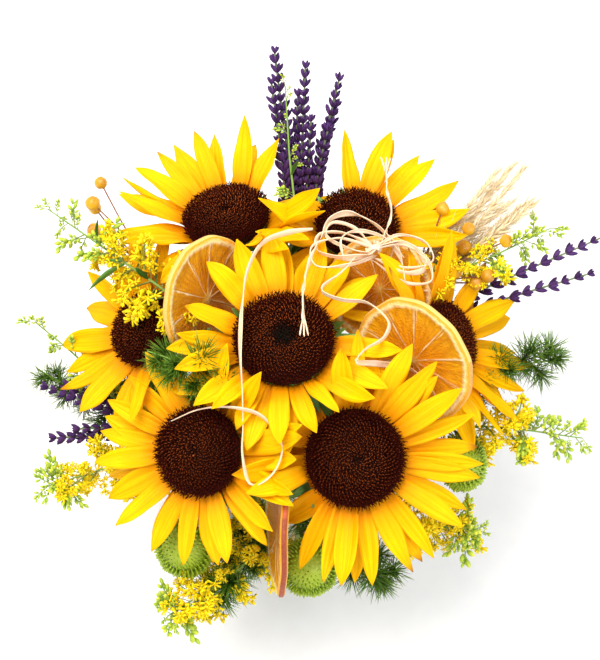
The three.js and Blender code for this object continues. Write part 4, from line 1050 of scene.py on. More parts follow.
bind_inner = SPRAY_RING + SPRAY_STEM_RADIUS + CLEARANCE + 2.2
spin = np.linspace(0, 2 * math.pi * 5, 300)
drift = np.linspace(-7, 7, 300) + 1.2 * np.sin(spin * 0.4)
radius = bind_inner + 0.5 * np.sin(spin * 0.73)
wraps = np.stack([radius * np.cos(spin), radius * np.sin(spin), BIND_HEIGHT + drift], axis=1)
binding = [ribbon(wraps, 41, width=4.6, tilt=math.pi / 2, swing=0.08, raw=True)[0]]
for k, end in enumerate(([-6, -30, 86], [7, -29.5, 84])):
    knot = [bind_inner * math.cos(-1.6), bind_inner * math.sin(-1.6) - 0.8, BIND_HEIGHT]
    tail = smooth_route([knot, [end[0] * 0.5, -27.5, 92], end], 24)
    binding.append(ribbon(tail, 43 + k, width=3.6, tilt=math.pi / 2, swing=0.2, raw=True)[0])
finished("raffia_binding_wraps", binding, "raffia_binding")

# ================================================================ small parts that repeat


def spindle(name, length, width, sides, rings, curve=0.0):
    """A bud, seed or needle along Z, given as [place 0 to 1, share of its width]."""
    points, values = [], []
    for place, wide in rings:
        for k in range(sides):
            turn = 2 * math.pi * k / sides
            out = wide * width / 2
            lean = curve * length * place**2
            points.append((out * math.cos(turn), out * math.sin(turn) - lean, place * length))
            values.append(place)
    faces = []
    for row in range(len(rings) - 1):
        for k in range(sides):
            a, b = row * sides + k, row * sides + (k + 1) % sides
            faces.append((a, b, b + sides, a + sides))
    faces.append(tuple(reversed(range(sides))))
    faces.append(tuple(len(points) - sides + k for k in range(sides)))
    return mesh_of(name, points, faces, {"along": values})


def flat_leaf(name, length, width, rows=5, columns=3, cup=0.15, curve=0.0, shape=None, thickness=0.3):
    """A leaf or strap petal that grows along Z and bends towards -Y."""
    share = np.linspace(0, 1, rows)
    shape = shape or [(0, 0.25), (0.45, 1), (0.8, 0.62), (1, 0.06)]
    half = np.interp(share, [a for a, _ in shape], [b for _, b in shape]) * width / 2
    centre = np.stack([0 * share, -curve * length * share**2, length * share], axis=1)
    side = np.tile((-1.0, 0.0, 0.0), (rows, 1))
    points, faces, values = blade(centre, side, half, thickness, columns, cup)
    return mesh_of(name, points, faces, {"along": values["along"], "across": values["across"]})


def merged_meshes(name, meshes):
    """One mesh from several small ones, keeping their attributes."""
    things = [hosted(mesh) for mesh in meshes]
    with bpy.context.temp_override(active_object=things[0], selected_editable_objects=things):
        bpy.ops.object.join()
    mesh = things[0].data
    mesh.name = name
    bpy.data.objects.remove(things[0])
    return mesh


stock = bpy.data.collections.new("stock")
scene.collection.children.link(stock)


def stocked(mesh):
    """Keeps a small shape at hand for the trees to repeat."""
    thing = bpy.data.objects.new("stock_" + mesh.name, mesh)
    stock.objects.link(thing)
    return thing


def ring_of(piece_mesh, count, lean, offset, seed, uneven_by=0.12, lift=0.0):
    """One whorl: copies of a small shape round a short upright line."""
    host = line_host(np.array([[0, 0, lift], [0, 0, lift + 0.4]]))
    sizes = {
        "Piece": stocked(piece_mesh), "Count": count, "Turn": 2 * math.pi / count, "Lean": lean,
        "Lean At Tip": lean, "Offset": offset * MM, "Unevenness": uneven_by, "Seed": seed, "Material": LEAF,
    }
    return grown(host, SPRIG, **sizes)


def sprig(route, piece, material, seed, **sizes):
    """Grows copies of a stocked shape along a route."""
    settings = {"Piece": piece, "Seed": seed, "Material": material, **sizes}
    return grown(line_host(route), SPRIG, **settings)


bud_rings = [(0, 0.3), (0.3, 0.85), (0.6, 1), (0.85, 0.7), (1, 0.2)]
lavender_calyx = spindle("lavender_calyx", 7.4, 2.9, 6, bud_rings, curve=0.04)
lavender_whorl = stocked(ring_of(lavender_calyx, 6, 0.42, 0.7, 3, 0.16))
seed_bud = stocked(spindle("seed_bud", 2.6, 1.9, 5, [(0, 0.7), (0.5, 1), (0.85, 0.7), (1, 0.25)]))
open_lobe = spindle("open_lobe", 2.0, 0.55, 3, [(0, 1), (1, 0.3)], curve=0.25)
throat = spindle("throat", 2.3, 1.25, 5, [(0, 0.7), (1, 1)])
lobes = ring_of(open_lobe, 5, 0.35, 0.5, 5, 0.2, lift=2.0)
open_floret = stocked(merged_meshes("open_floret", [throat, lobes]))
rim_floret = stocked(flat_leaf("rim_floret", 4.0, 1.3, rows=4, columns=3, cup=0.5, curve=0.2, thickness=0.25))
rod_ray = spindle("rod_ray", 2.7, 1.25, 3, [(0, 0.6), (1, 0.8)])
rod_cup = spindle("rod_cup", 2.4, 1.7, 5, [(0, 0.4), (0.6, 1), (1, 0.9)])
rays = ring_of(rod_ray, 8, 1.0, 0.4, 8, 0.25, lift=2.0)
rod_floret = stocked(merged_meshes("rod_floret", [rod_cup, rays]))
rod_bud = stocked(spindle("rod_bud", 4.2, 2.5, 5, [(0, 0.35), (0.45, 1), (0.8, 0.75), (1, 0.25)]))
needle = stocked(spindle("needle", 12.5, 0.5, 3, [(0, 0.8), (0.6, 1), (1, 0.15)], curve=0.1))
button_shape = [(0, 0.35), (0.5, 0.9), (0.82, 1), (1, 0.4)]
button_cut = {"rows": 5, "columns": 3, "cup": 0.7, "curve": -0.18, "thickness": 0.4, "shape": button_shape}
button_floret = stocked(flat_leaf("button_floret", 6.4, 3.9, **button_cut))
husk = stocked(spindle("husk", 12, 2.6, 4, [(0, 0.3), (0.25, 1), (0.6, 0.7), (1, 0.06)], curve=0.05))
awn = stocked(spindle("awn", 32, 0.3, 3, [(0, 1), (0.5, 0.8), (1, 0.15)], curve=0.08))
rod_leaf = stocked(flat_leaf("rod_leaf", 30, 7, rows=8, columns=5, cup=0.3, curve=0.22))
small_leaf = stocked(flat_leaf("small_leaf", 15, 4.2, rows=6, columns=3, cup=0.3, curve=0.2))
bract_shape = [(0, 0.7), (0.3, 1), (0.65, 0.6), (1, 0.04)]
bract = stocked(flat_leaf("bract", 25, 10.5, rows=8, columns=5, cup=0.18, curve=-0.1, shape=bract_shape))

# ================================================================ sunflowers


class Head:
    """A sunflower head: where it sits, and the petals as they settled."""

    def __init__(self, row):
        self.name, azimuth, self.reach, drop, lean_to, lean, self.disc, self.petal, self.rise = row
        self.centre = around([azimuth, self.reach, drop])
        self.facing = leaning(lean_to, lean)
        self.where = facing_frame(self.centre, self.facing)
        self.petals = []

    def inside(self, points):
        """How deep points are in the disc and cup of this head."""
        local = (points - self.centre) @ self.where[0]
        out = np.hypot(local[:, 0], local[:, 1])
        depths = [self.disc + 3 - out, DOME + 3 - local[:, 2], local[:, 2] + DISC_DEPTH + CUP_DEPTH + 4]
        return 1.5 * np.minimum.reduce(depths)

    def shaded_by(self, points):
        """Which points hang over the face of this head."""
        local = (points - self.centre) @ self.where[0]
        out = np.hypot(local[:, 0], local[:, 1])
        return ((out < self.disc - 2) & (local[:, 2] > -2) & (local[:, 2] < 45)).astype(float)


heads = [Head(row) for row in SUNFLOWERS]
PETAL_STATIONS = np.array([0, 0.38, 0.74, 1])
PETAL_SHARES = np.array([0.5, 1, 0.74, 0])
PETAL_SPACING = 10.6
# what a petal pays for each of its points that hangs over another head's face
FACE_COST = 30
# what it pays for each point that hides the back lavender, and how near in mm counts as hiding it
VEIL_COST = 8
VEIL_WIDTH = 7
# what a petal of each row may pay in all before it is squeezed out
MOST_CROWDED = (26, 12, 18)
obstacles = {"at": [], "normal": [], "wide": [], "deep": [], "owner": []}
beads = []
# the side the bunch is arranged to be seen from, and the way that is up across it
FACE_OF_BUNCH = leaning(-90, 28)
UP_THE_FACE = np.cross(FACE_OF_BUNCH, (1, 0, 0))
back_lavender = np.concatenate([thin_route(0, name, 60) for name in LAVENDER if name.startswith("back")])
kept_clear = back_lavender[back_lavender @ UP_THE_FACE > 203]


def add_obstacle(at, normal, wide, deep, owner):
    for key, value in zip(obstacles, (at, normal, wide, deep, owner)):
        obstacles[key].append(value)


def petal_lines(head, lifts, sizes, row):
    """Middle lines of petals as [out, up] in the frame of the head, one for each trial."""
    root = -DISC_DEPTH - COLLAR_DEPTH * (0.2, 0.5, 0.8)[row]
    lines = np.zeros((len(lifts), 4, 2))
    lines[:, 0] = (head.disc * 0.84, root)
    for k in (1, 2, 3):
        run = (PETAL_STATIONS[k] - PETAL_STATIONS[k - 1]) * (head.petal * sizes + head.disc * 0.14)
        slope = np.radians(lifts + PETAL_CURVE * PETAL_STATIONS[k])
        lines[:, k, 0] = lines[:, k - 1, 0] + run * np.cos(slope)
        lines[:, k, 1] = lines[:, k - 1, 1] + run * np.sin(slope)
    return lines


def settle(head, turn, row, lift):
    """A petal takes the slope and length nearest its own that is free."""
    lifts, sizes = np.meshgrid(np.arange(-75, 61, 5.0), [1, 0.84, 0.68, 0.52])
    lifts, sizes = lifts.ravel(), sizes.ravel()
    lines = petal_lines(head, lifts, sizes, row)
    samples = []
    for k in (1, 2, 3):
        for share in (0.5, 1.0):
            at = lines[:, k - 1] * (1 - share) + lines[:, k] * share
            half = 0.4 * PETAL_WIDTH * (PETAL_SHARES[k - 1] * (1 - share) + PETAL_SHARES[k] * share)
            for side in (-half, 0, half):
                x = at[:, 0] * math.cos(turn) - side * math.sin(turn)
                y = at[:, 0] * math.sin(turn) + side * math.cos(turn)
                samples.append(np.stack([x, y, at[:, 1]], axis=1))
    points = placed(np.stack(samples, axis=1).reshape(-1, 3), head.where)
    depth = np.zeros(len(points))
    near = np.array([owner is not head for owner in obstacles["owner"]], bool)
    at, normal = np.array(obstacles["at"])[near], np.array(obstacles["normal"])[near]
    wide, deep = np.array(obstacles["wide"])[near], np.array(obstacles["deep"])[near]
    close = np.linalg.norm(at - head.centre, axis=1) < head.disc + head.petal + 30
    for p, n, w, d in zip(at[close], normal[close], wide[close], deep[close]):
        gap = points - p
        off = np.abs(gap @ n)
        inside = (off < d) & ((gap**2).sum(1) - off**2 < w * w)
        depth = np.maximum(depth, np.where(inside, d - off, 0))
    veil = np.zeros(len(points))
    for p in kept_clear:
        # the lavender stands free between the two heads at the back
        gap = points - p
        ahead = gap @ FACE_OF_BUNCH
        aside = np.linalg.norm(gap - np.outer(ahead, FACE_OF_BUNCH), axis=1)
        veil = np.maximum(veil, (ahead > 0) & (aside < VEIL_WIDTH))
    for p, radius in beads:
        if np.linalg.norm(p - head.centre) < head.disc + head.petal + 20:
            depth = np.maximum(depth, radius - np.linalg.norm(points - p, axis=1))
    over = np.zeros(len(points))
    for other in heads:
        if other is not head:
            depth = np.maximum(depth, other.inside(points))
            over = np.maximum(over, other.shaded_by(points))
    trials = len(lifts)
    cost = (depth.reshape(trials, -1) ** 2).sum(1) + FACE_COST * over.reshape(trials, -1).sum(1)
    cost += VEIL_COST * veil.reshape(trials, -1).sum(1)
    rise = lifts - lift
    cost += 0.003 * rise**2 + 0.016 * np.maximum(0, rise) ** 2 + 120 * (1 - sizes) ** 2
    best = int(np.argmin(cost))
    return cost[best], lines[best]


for rank, group in enumerate(thin_groups):
    for name in group:
        wide = 6 if group is LAVENDER and name.startswith("back") else 0
        above = thin_route(rank, name, 36)[9:]
        beads += [(p, SPRAY_STEM_RADIUS + wide * (k > 12)) for k, p in enumerate(above)]
for row in ORANGE_SLICES:
    centre, facing, _, radius = slice_place(row)
    beads += [(p, SPRAY_STEM_RADIUS) for p in pick_route(row, 36)[9:]]
    add_obstacle(centre, facing, radius + 3, SLICE_THICKNESS / 2 + 5, None)
beads += [(around(place), 6) for _, spread in SEED_HEADS.values() for place in spread]
for places in [TRAIL_LEFT, TRAIL_RIGHT, *BOW]:
    beads += [(p, 3.4) for p in smooth_route([around(place) for place in places], 41)]


def settle_petals(head, rank):
    """Three rows of petals, those of the upper rows rising a little more."""
    count = 3 * round(math.pi * (head.disc + 4) / PETAL_SPACING)
    for k in range(count):
        row = (0, 2, 1)[k % 3]
        turn = 2 * math.pi * (k + 0.45 * uneven(rank * 50 + k)) / count
        lift = head.rise + (9, -1, -10)[row] + 6 * uneven(rank * 70 + k + 9)
        crowding, line = settle(head, turn, row, lift)
        if crowding < MOST_CROWDED[row]:
            head.petals.append((turn, line))
    for turn, line in head.petals:
        for k in (1, 2, 3):
            step = (line[k] - line[k - 1]) / np.linalg.norm(line[k] - line[k - 1])
            normal = np.array([-step[1] * math.cos(turn), -step[1] * math.sin(turn), step[0]])
            for share in (0.35, 0.85):
                out, up = line[k - 1] * (1 - share) + line[k] * share
                at = placed([[out * math.cos(turn), out * math.sin(turn), up]], head.where)[0]
                add_obstacle(at, head.where[0] @ normal, PETAL_WIDTH / 2 - 1, 1.6, head)


def petal_blade(head, turn, line, seed):
    """One ray petal: pointed, pleated, with its own twist and curl."""
    rows = 16
    share = np.linspace(0, 1, rows)
    out = smooth_route([[p[0], p[1], 0] for p in line], rows)[:, :2]
    wild = 2.6 if uneven(seed * 23 + 8) > 0.62 else 1
    curl = 2.5 + 4.5 * wild * uneven(seed * 3 + 1)
    out[:, 1] += curl * np.clip(share - 0.55, 0, 1) ** 2 * 4
    sway = 4 * uneven(seed * 5 + 2) * share**2
    shape = [
        (0, 0.66), (0.12, 0.8), (0.3, 0.96), (0.45, 1), (0.62, 0.95), (0.78, 0.74), (0.9, 0.42), (1, 0.03),
    ]
    half = np.interp(share, [a for a, _ in shape], [b for _, b in shape])
    half = half * PETAL_WIDTH / 2 * (0.95 + 0.2 * uneven(seed * 7 + 3))
    x = out[:, 0] * math.cos(turn) - sway * math.sin(turn)
    y = out[:, 0] * math.sin(turn) + sway * math.cos(turn)
    centre = np.stack([x, y, out[:, 1]], axis=1)
    twist = 0.5 * wild * uneven(seed * 11 + 4) * share + 0.16 * uneven(seed * 13 + 5)
    flat = np.array([math.sin(turn), -math.cos(turn), 0.0])
    side = np.outer(np.cos(twist), flat) + np.outer(np.sin(twist), (0, 0, 1))
    cup = 0.3 + 0.28 * uneven(seed * 17 + 6)
    return blade(
        placed(centre, head.where), side @ head.where[0].T, half, thickness=0.4, columns=13,
        cup=cup, pleats=3, pleat=0.42, edge_wave=0.2, seed=seed,
    )


def sunflower_petals(head, rank):
    parts = []
    # these heads go a deeper orange: partly age, partly painted shade where the light reaches them less
    older_and_shaded = 0.18 if head.name in ("front_right", "right", "left") else 0
    for k, (turn, line) in enumerate(head.petals):
        seed = rank * 40 + k
        shade = min(1, 0.5 + older_and_shaded + 0.45 * uneven(seed * 19 + 7))
        parts.append((petal_blade(head, turn, line, seed), shade))
    mesh = gathered("petals", parts)
    mesh.materials.append(PETAL)
    collar = [
        (0, -DISC_DEPTH - COLLAR_DEPTH), (head.disc * 0.82, -DISC_DEPTH - COLLAR_DEPTH),
        (head.disc * 0.86, -DISC_DEPTH - 2), (head.disc * 0.82, -DISC_DEPTH - CLEARANCE),
        (0, -DISC_DEPTH - CLEARANCE),
    ]
    return [mesh, lathe("collar", collar, 40, BRACT, where=head.where)]


def sunflower_disc(head, rank):
    """A low felted dome packed with florets: tight buds, open florets, and a ragged rim."""
    r = head.disc * 0.95
    profile = [
        (0, -DISC_DEPTH), (r * 0.88, -DISC_DEPTH), (r * 0.95, -5.4), (r * 0.92, -3.9), (r * 0.8, -2.4),
        (r * 0.55, -0.7), (r * 0.3, 0.1), (r * 0.12, -1.2), (0, -1.5),
    ]
    meshes = [lathe("felt", profile, 48, FELT, 0.01, head.where)]
    dome = 5.2
    ball = (r * r + dome * dome) / (2 * dome)
    spread = math.asin(0.97 * r / ball)
    floret_area = 3.3
    total = round(math.pi * r * r / floret_area)
    inner, outer = round(total * (0.055 if rank == 0 else 0.012)), round(total * 0.86)
    layers = [
        (seed_bud, 0, inner, 0.0, 0.72, 0.9),
        (open_floret, inner, outer, 0.3, 0.82, 1.1),
        (rim_floret, outer, total, 0.4, 0.7, 0.85),
        (rim_floret, outer + 30, total, 0.05, 0.6, 0.8),
    ]
    for k, (piece, first, last, lean, size, at_rim) in enumerate(layers):
        host = hosted(bpy.data.meshes.new("host"))
        sizes = {
            "Piece": piece, "Total": total, "First": first, "Last": last, "Radius": ball * MM,
            "Spread": spread, "Lean": lean, "Size": size, "Size At Rim": at_rim,
            "Unevenness": 0.2, "Seed": rank * 10 + k, "Material": FLORET,
        }
        mesh = grown(host, DOME_OF_FLORETS, **sizes)
        points = np.zeros(len(mesh.vertices) * 3)
        mesh.vertices.foreach_get("co", points)
        points = points.reshape(-1, 3) / MM
        dimple = 1.8 * np.exp(-((np.hypot(points[:, 0], points[:, 1]) / (0.24 * r)) ** 2))
        points[:, 2] += 1.3 - dimple
        mesh.vertices.foreach_set("co", (placed(points, head.where) * MM).ravel())
        if rank:
            # only the middle head still has a wide dark eye of closed buds
            share = np.zeros(len(points))
            mesh.attributes["share"].data.foreach_get("value", share)
            mesh.attributes["share"].data.foreach_set("value", 0.2 + 0.8 * share)
        mesh.shade_smooth()
        meshes.append(mesh)
    return meshes


def moved(mesh, where):
    """The mesh, carried from the frame of a head to its place in the bunch."""
    points = np.zeros(len(mesh.vertices) * 3)
    mesh.vertices.foreach_get("co", points)
    mesh.vertices.foreach_set("co", (placed(points.reshape(-1, 3) / MM, where) * MM).ravel())
    return mesh


def sunflower_stem(head, rank):
    """Stem, cup and three rows of pointed bracts."""
    floor = -DISC_DEPTH - COLLAR_DEPTH - CLEARANCE
    neck = floor - CUP_DEPTH
    radius = MIDDLE_STEM_RADIUS if head.reach == 0 else STEM_RADIUS
    below, base, within = placed([[0, 0, neck - 24], [0, 0, neck], [0, 0, neck + 6]], head.where)
    waist = math.degrees(math.atan2(below[1], below[0])) - SPIRAL_TURN
    if head.reach == 0:
        route = smooth_route([[0, 0, 0], [0, 0, BIND_HEIGHT], below, base, within], 90)
    else:
        route = stem_route(SUNFLOWER_RING, SUNFLOWER_LEAN, waist, [below, base, within], 110)
    swell = np.interp(np.linspace(0, 1, len(route)), [0, 0.03, 0.93, 1], [1, 0.96, 0.96, 1.2])
    meshes = [stalk(route, radius * swell, STEM, sides=40, ribs=9, rib_depth=0.03)]
    cup = [
        (0, neck - 2), (radius * 1.1, neck - 1), (head.disc * 0.4, floor - CUP_DEPTH * 0.72),
        (head.disc * 0.66, floor - CUP_DEPTH * 0.42), (head.disc * 0.84, floor - 4.5),
        (head.disc * 0.86, floor - 1.5), (head.disc * 0.8, floor), (0, floor),
    ]
    meshes.append(lathe("cup", cup, 44, BRACT, 0.02, head.where))
    bract_rows = [(13, -13, 0.6, 1.35, 0.85), (14, -8.5, 0.74, 1.65, 0.8), (12, -7, 0.8, 2.0, 0.65)]
    for k, (count, rise, offset, lean, size) in enumerate(bract_rows):
        host = line_host(np.array([[0, 0, floor + rise], [0, 0, floor + rise + 1.5]]))
        grow = size * head.disc / 29
        sizes = {
            "Piece": bract, "Count": count, "Turn": 2 * math.pi / count, "Lean": lean, "Lean At Tip": lean,
            "Offset": head.disc * offset * MM, "Size": grow, "Size At Tip": grow,
            "Unevenness": 0.1, "Seed": rank * 9 + k, "Material": BRACT,
        }
        meshes.append(moved(grown(host, SPRIG, **sizes), head.where))
    return meshes


for rank, head in enumerate(heads):
    settle_petals(head, rank)
for rank, head in enumerate(heads):
    node = f"sunflower_{head.name}"
    finished(f"{node}_ray_petals", sunflower_petals(head, rank), f"{node}_petals")
    finished(f"{node}_disc_florets", sunflower_disc(head, rank), f"{node}_disc")
    finished(f"{node}_cup_and_stem", sunflower_stem(head, rank), f"{node}_stem")

# ================================================================ orange slices


def orange_slice(row, seed):
    """A dried slice: sunken cells between ten walls, firm pith and rind, and a slight warp."""
    centre, facing, _, radius = slice_place(row)
    wedges, spokes = 10, 160
    rings = np.array([
        0, 0.05, 0.1, 0.18, 0.28, 0.38, 0.48, 0.58, 0.68,
        0.76, 0.82, 0.86, 0.88, 0.91, 0.94, 0.965, 0.985, 1.0,
    ])
    turns = np.arange(spokes) * 2 * math.pi / spokes
    in_wedge = (turns * wedges / (2 * math.pi)) % 1 * 2 - 1
    wall = np.abs(in_wedge) ** 6
    points, values = [], {"share": [], "across": [], "shade": [], "along": []}
    level = np.interp(rings, [0, 0.06, 0.12, 0.8, 0.87, 0.95, 1], [0.7, 0.66, 0.42, 0.4, 0.78, 1, 0.45])
    hollow = np.interp(rings, [0, 0.1, 0.3, 0.7, 0.8, 1], [0, 0.12, 0.24, 0.24, 0.04, 0])
    for up in (1, -1):
        for ring, height, sink in zip(rings, level, hollow):
            for k, turn in enumerate(turns):
                edge = 1 + 0.012 * math.sin(5 * turn + seed) + 0.008 * math.sin(11 * turn + 2 * seed)
                r = radius * ring * edge
                shrunk = sink * (1 - wall[k]) * (0.8 + 0.3 * uneven(k * 3 + seed))
                half = SLICE_THICKNESS / 2 * (height - shrunk)
                warp = 1.3 * ring**2 * math.sin(2 * turn + seed) + 0.5 * ring**3 * math.sin(5 * turn + seed)
                points.append((r * math.cos(turn), r * math.sin(turn), up * half + warp))
                values["share"].append(ring)
                values["across"].append(in_wedge[k])
                values["shade"].append(math.floor(turn * wedges / (2 * math.pi)) / wedges)
                values["along"].append(ring)
    faces, count = [], len(rings)
    for side in (0, 1):
        start = side * count * spokes
        for i in range(count - 1):
            for k in range(spokes):
                a, b = start + i * spokes + k, start + i * spokes + (k + 1) % spokes
                quad = (a, a + spokes, b + spokes, b)
                faces.append(quad if side == 0 else quad[::-1])
    top, low = (count - 1) * spokes, (2 * count - 1) * spokes
    for k in range(spokes):
        after = (k + 1) % spokes
        faces.append((top + k, low + k, low + after, top + after))
    mesh = mesh_of("slice", placed(points, facing_frame(centre, facing)), faces, values)
    tidy = bmesh.new()
    tidy.from_mesh(mesh)
    bmesh.ops.remove_doubles(tidy, verts=tidy.verts, dist=1e-6)
    bmesh.ops.recalc_face_normals(tidy, faces=tidy.faces)
    tidy.to_mesh(mesh)
    tidy.free()
    mesh.materials.append(ORANGE)
    mesh.materials.append(RIND_DARK if row[0] == "front" else RIND)
    shares = mesh.attributes["share"].data
    for face in mesh.polygons:
        face.material_index = int(min(shares[k].value for k in face.vertices) > 0.97)
    return mesh


for seed, row in enumerate(ORANGE_SLICES):
    finished(f"orange_slice_{row[0]}_dried", [orange_slice(row, seed)], f"orange_slice_{row[0]}")
    cane = stalk(pick_route(row), 1.25, CANE, sides=12, ribs=5, rib_depth=0.06)
    finished(f"orange_pick_{row[0]}_cane", [cane], f"orange_pick_{row[0]}")

# ================================================================ filler


def beside(route, first, last, away, turn):
    """A shorter side stem that leaves a route and runs beside it."""
    part = route[int(first * len(route)) : int(last * len(route))]
    ahead = part[-1] - part[0]
    side = np.cross(ahead / np.linalg.norm(ahead), (0, 0, 1))
    up = np.cross(side, ahead / np.linalg.norm(ahead))
    out = side * math.cos(math.radians(turn)) + up * math.sin(math.radians(turn))
    return part + np.outer(away * np.sin(np.linspace(0, 1, len(part)) * math.pi / 2), out)


def thin_stem(route, material, radius=SPRAY_STEM_RADIUS, tip=0.45):
    taper = np.interp(np.linspace(0, 1, len(route)), [0, 0.5, 1], [radius, radius * 0.85, radius * tip])
    return stalk(route, taper, material, sides=10, ribs=4, rib_depth=0.06)


# how many spikes a lavender stem carries, and how far apart its whorls are in mm
SPIKES = {"back": (3, 5.8), "left": (2, 5.8), "right": (1, 8.2)}
for seed, (name, (_, bare)) in enumerate(LAVENDER.items()):
    route = thin_route(0, name)
    meshes = [thin_stem(route, LAVENDER_STEM)]
    spikes, spacing = SPIKES[name.split("_")[0]]
    for k in range(spikes):
        spike = route if k == 0 else beside(route, 0.5, 1 - 0.05 * k, 7, 70 * seed + 150 * k)
        count = round(length_of(spike) * (bare if k == 0 else 0.86) / spacing)
        sizes = {"Count": count, "First": 1 - bare if k == 0 else 0.12, "Last": 0.995}
        sizes |= {"Turn": 0.55, "Unevenness": 0.14, "Lean": 0.0, "Lean At Tip": 0.0}
        sizes |= {"Size": 1.25, "Size At Tip": 0.75}
        meshes.append(sprig(spike, lavender_whorl, LAVENDER_BUD, seed + 40 * k, **sizes))
        meshes[-1].shade_smooth()
        if k:
            meshes.append(stalk(spike, 0.7, LAVENDER_STEM, sides=6, foot=False))
    finished(f"lavender_{name}_spike", meshes, f"lavender_{name}")

twig_lines = []
for k in range(3):
    bend = 0.5 + 0.25 * k
    twig_places = [[0, 0, 0], [0, -1.2, 6], [0.8 * k, -4 * bend, 12], [k, -9 * bend, 17]]
    twig_lines.append(smooth_route(twig_places, 12))
rod_twigs, rod_flowers, rod_buds = [], [], []
for k, line in enumerate(twig_lines):
    rod_twigs.append(stocked(stalk(line, 0.45, TWIG, sides=4, foot=False)))
    spread = {"First": 0.35, "Last": 1.0, "Lean": 1.0, "Lean At Tip": 0.3}
    spread |= {"Offset": 1.0 * MM, "Unevenness": 0.3}
    rod_flowers.append(stocked(sprig(line, rod_floret, ROD_FLORET, 50 + k, Count=9, **spread)))
    rod_buds.append(stocked(sprig(line, rod_bud, ROD_BUD, 60 + k, Count=9, **spread)))

# the share of each spray that is still in bud, and of the others next to nothing
GREENER = {"left_back": 0.5, "back_right": 0.3, "right": 0.3, "left": 0.55, "back": 0.8}
for seed, (name, (_, bare)) in enumerate(GOLDENROD.items()):
    route = thin_route(1, name, 120)
    meshes = [thin_stem(route, TWIG, tip=0.3)]
    open_from, tip_from = 1 - bare, 1 - bare * GREENER.get(name, 0.12)
    for k in range(3):
        placing = {"Turn": GOLDEN_ANGLE * (1 + 0.07 * k), "Lean": 1.0, "Lean At Tip": 0.5, "Unevenness": 0.3}
        full = 0.7 if name == "back" else 1.15
        low = {"Count": 7 if name == "left_back" else 13, "First": open_from + 0.02 * k}
        low |= {"Last": tip_from - 0.01, "Size": full, "Size At Tip": 0.85 * full}
        high = {"Count": 6, "First": tip_from, "Last": 1 - 0.015 * k}
        high |= {"Size": 0.8 * full, "Size At Tip": 0.5 * full}
        for spread, heads_of, finish in ((low, rod_flowers, ROD_FLORET), (high, rod_buds, ROD_BUD)):
            meshes.append(sprig(route, rod_twigs[k], TWIG, seed * 10 + k, **placing, **spread))
            meshes.append(sprig(route, heads_of[k], finish, seed * 10 + k, **placing, **spread))
    leaves = {"Lean": 0.9, "Lean At Tip": 0.9, "Unevenness": 0.25, "Size": 1.0, "Size At Tip": 0.6}
    for leaf, shift, count, last in ((rod_leaf, 0, 4, open_from + 0.6 * bare), (small_leaf, 90, 7, tip_from)):
        ends = {"Count": count, "First": open_from, "Last": last}
        meshes.append(sprig(route, leaf, LEAF, seed + shift, **ends, **leaves))
    for mesh in meshes:
        mesh.shade_smooth()
    finished(f"goldenrod_{name}_spray", meshes, f"goldenrod_{name}")

fern_line = smooth_route([[0, 0, 0], [0, -2, 6], [0.6, -6, 12]], 10)
fern_twig = stocked(stalk(fern_line, 0.35, NEEDLE, sides=4, foot=False))
tuft_sizes = {
    "Piece": needle, "Total": 30, "First": 0, "Last": 30, "Radius": 0.0006, "Spread": 1.5,
    "Size": 1.0, "Size At Rim": 0.85, "Unevenness": 0.3, "Seed": 9, "Material": NEEDLE,
}
tuft = stocked(grown(hosted(bpy.data.meshes.new("host")), DOME_OF_FLORETS, **tuft_sizes))
tufting = {"Count": 4, "First": 0.35, "Last": 1.0, "Lean": 0.5, "Lean At Tip": 0.1, "Unevenness": 0.2}
fern_tufts = stocked(sprig(fern_line, tuft, NEEDLE, 70, **tufting))
for seed, (name, (_, bare)) in enumerate(FERN.items()):
    route = thin_route(2, name, 120)
    meshes = [thin_stem(route, TWIG, tip=0.3)]
    spread = {"Count": 19, "First": 1 - bare * 0.75, "Last": 0.95, "Lean": 0.95, "Lean At Tip": 0.2}
    spread |= {"Size At Tip": 0.85, "Unevenness": 0.25}
    for piece in (fern_twig, fern_tufts):
        meshes.append(sprig(route, piece, NEEDLE, seed + 30, **spread))
    finished(f"fern_{name}_plume", meshes, f"fern_{name}")

for seed, (name, (places, radius)) in enumerate(CHRYSANTHEMUMS.items()):
    route = thin_route(3, name)
    where = facing_frame(route[-1], leaning(places[1][0], 38))
    body = [
        (0, -radius * 0.45), (radius * 0.54, -radius * 0.38), (radius * 0.77, -radius * 0.05),
        (radius * 0.6, radius * 0.32), (0, radius * 0.46),
    ]
    meshes = [thin_stem(route, TWIG, tip=1.0), lathe("button_core", body, 30, BUTTON, where=where)]
    sizes = {
        "Piece": button_floret, "Total": 340, "First": 0, "Last": 340,
        "Radius": radius * 0.76 * MM, "Spread": 1.95, "Lean": 0.05,
        "Size": 0.42, "Size At Rim": 0.78, "Unevenness": 0.16, "Seed": seed, "Material": BUTTON,
    }
    florets = grown(hosted(bpy.data.meshes.new("host")), DOME_OF_FLORETS, **sizes)
    points = np.zeros(len(florets.vertices) * 3)
    florets.vertices.foreach_get("co", points)
    points = points.reshape(-1, 3) / MM
    points[:, 2] = (points[:, 2] + radius * 0.76) * 0.7
    florets.vertices.foreach_set("co", (placed(points, where) * MM).ravel())
    florets.shade_smooth()
    finished(f"chrysanthemum_{name}_button", [*meshes, florets], f"chrysanthemum_{name}")


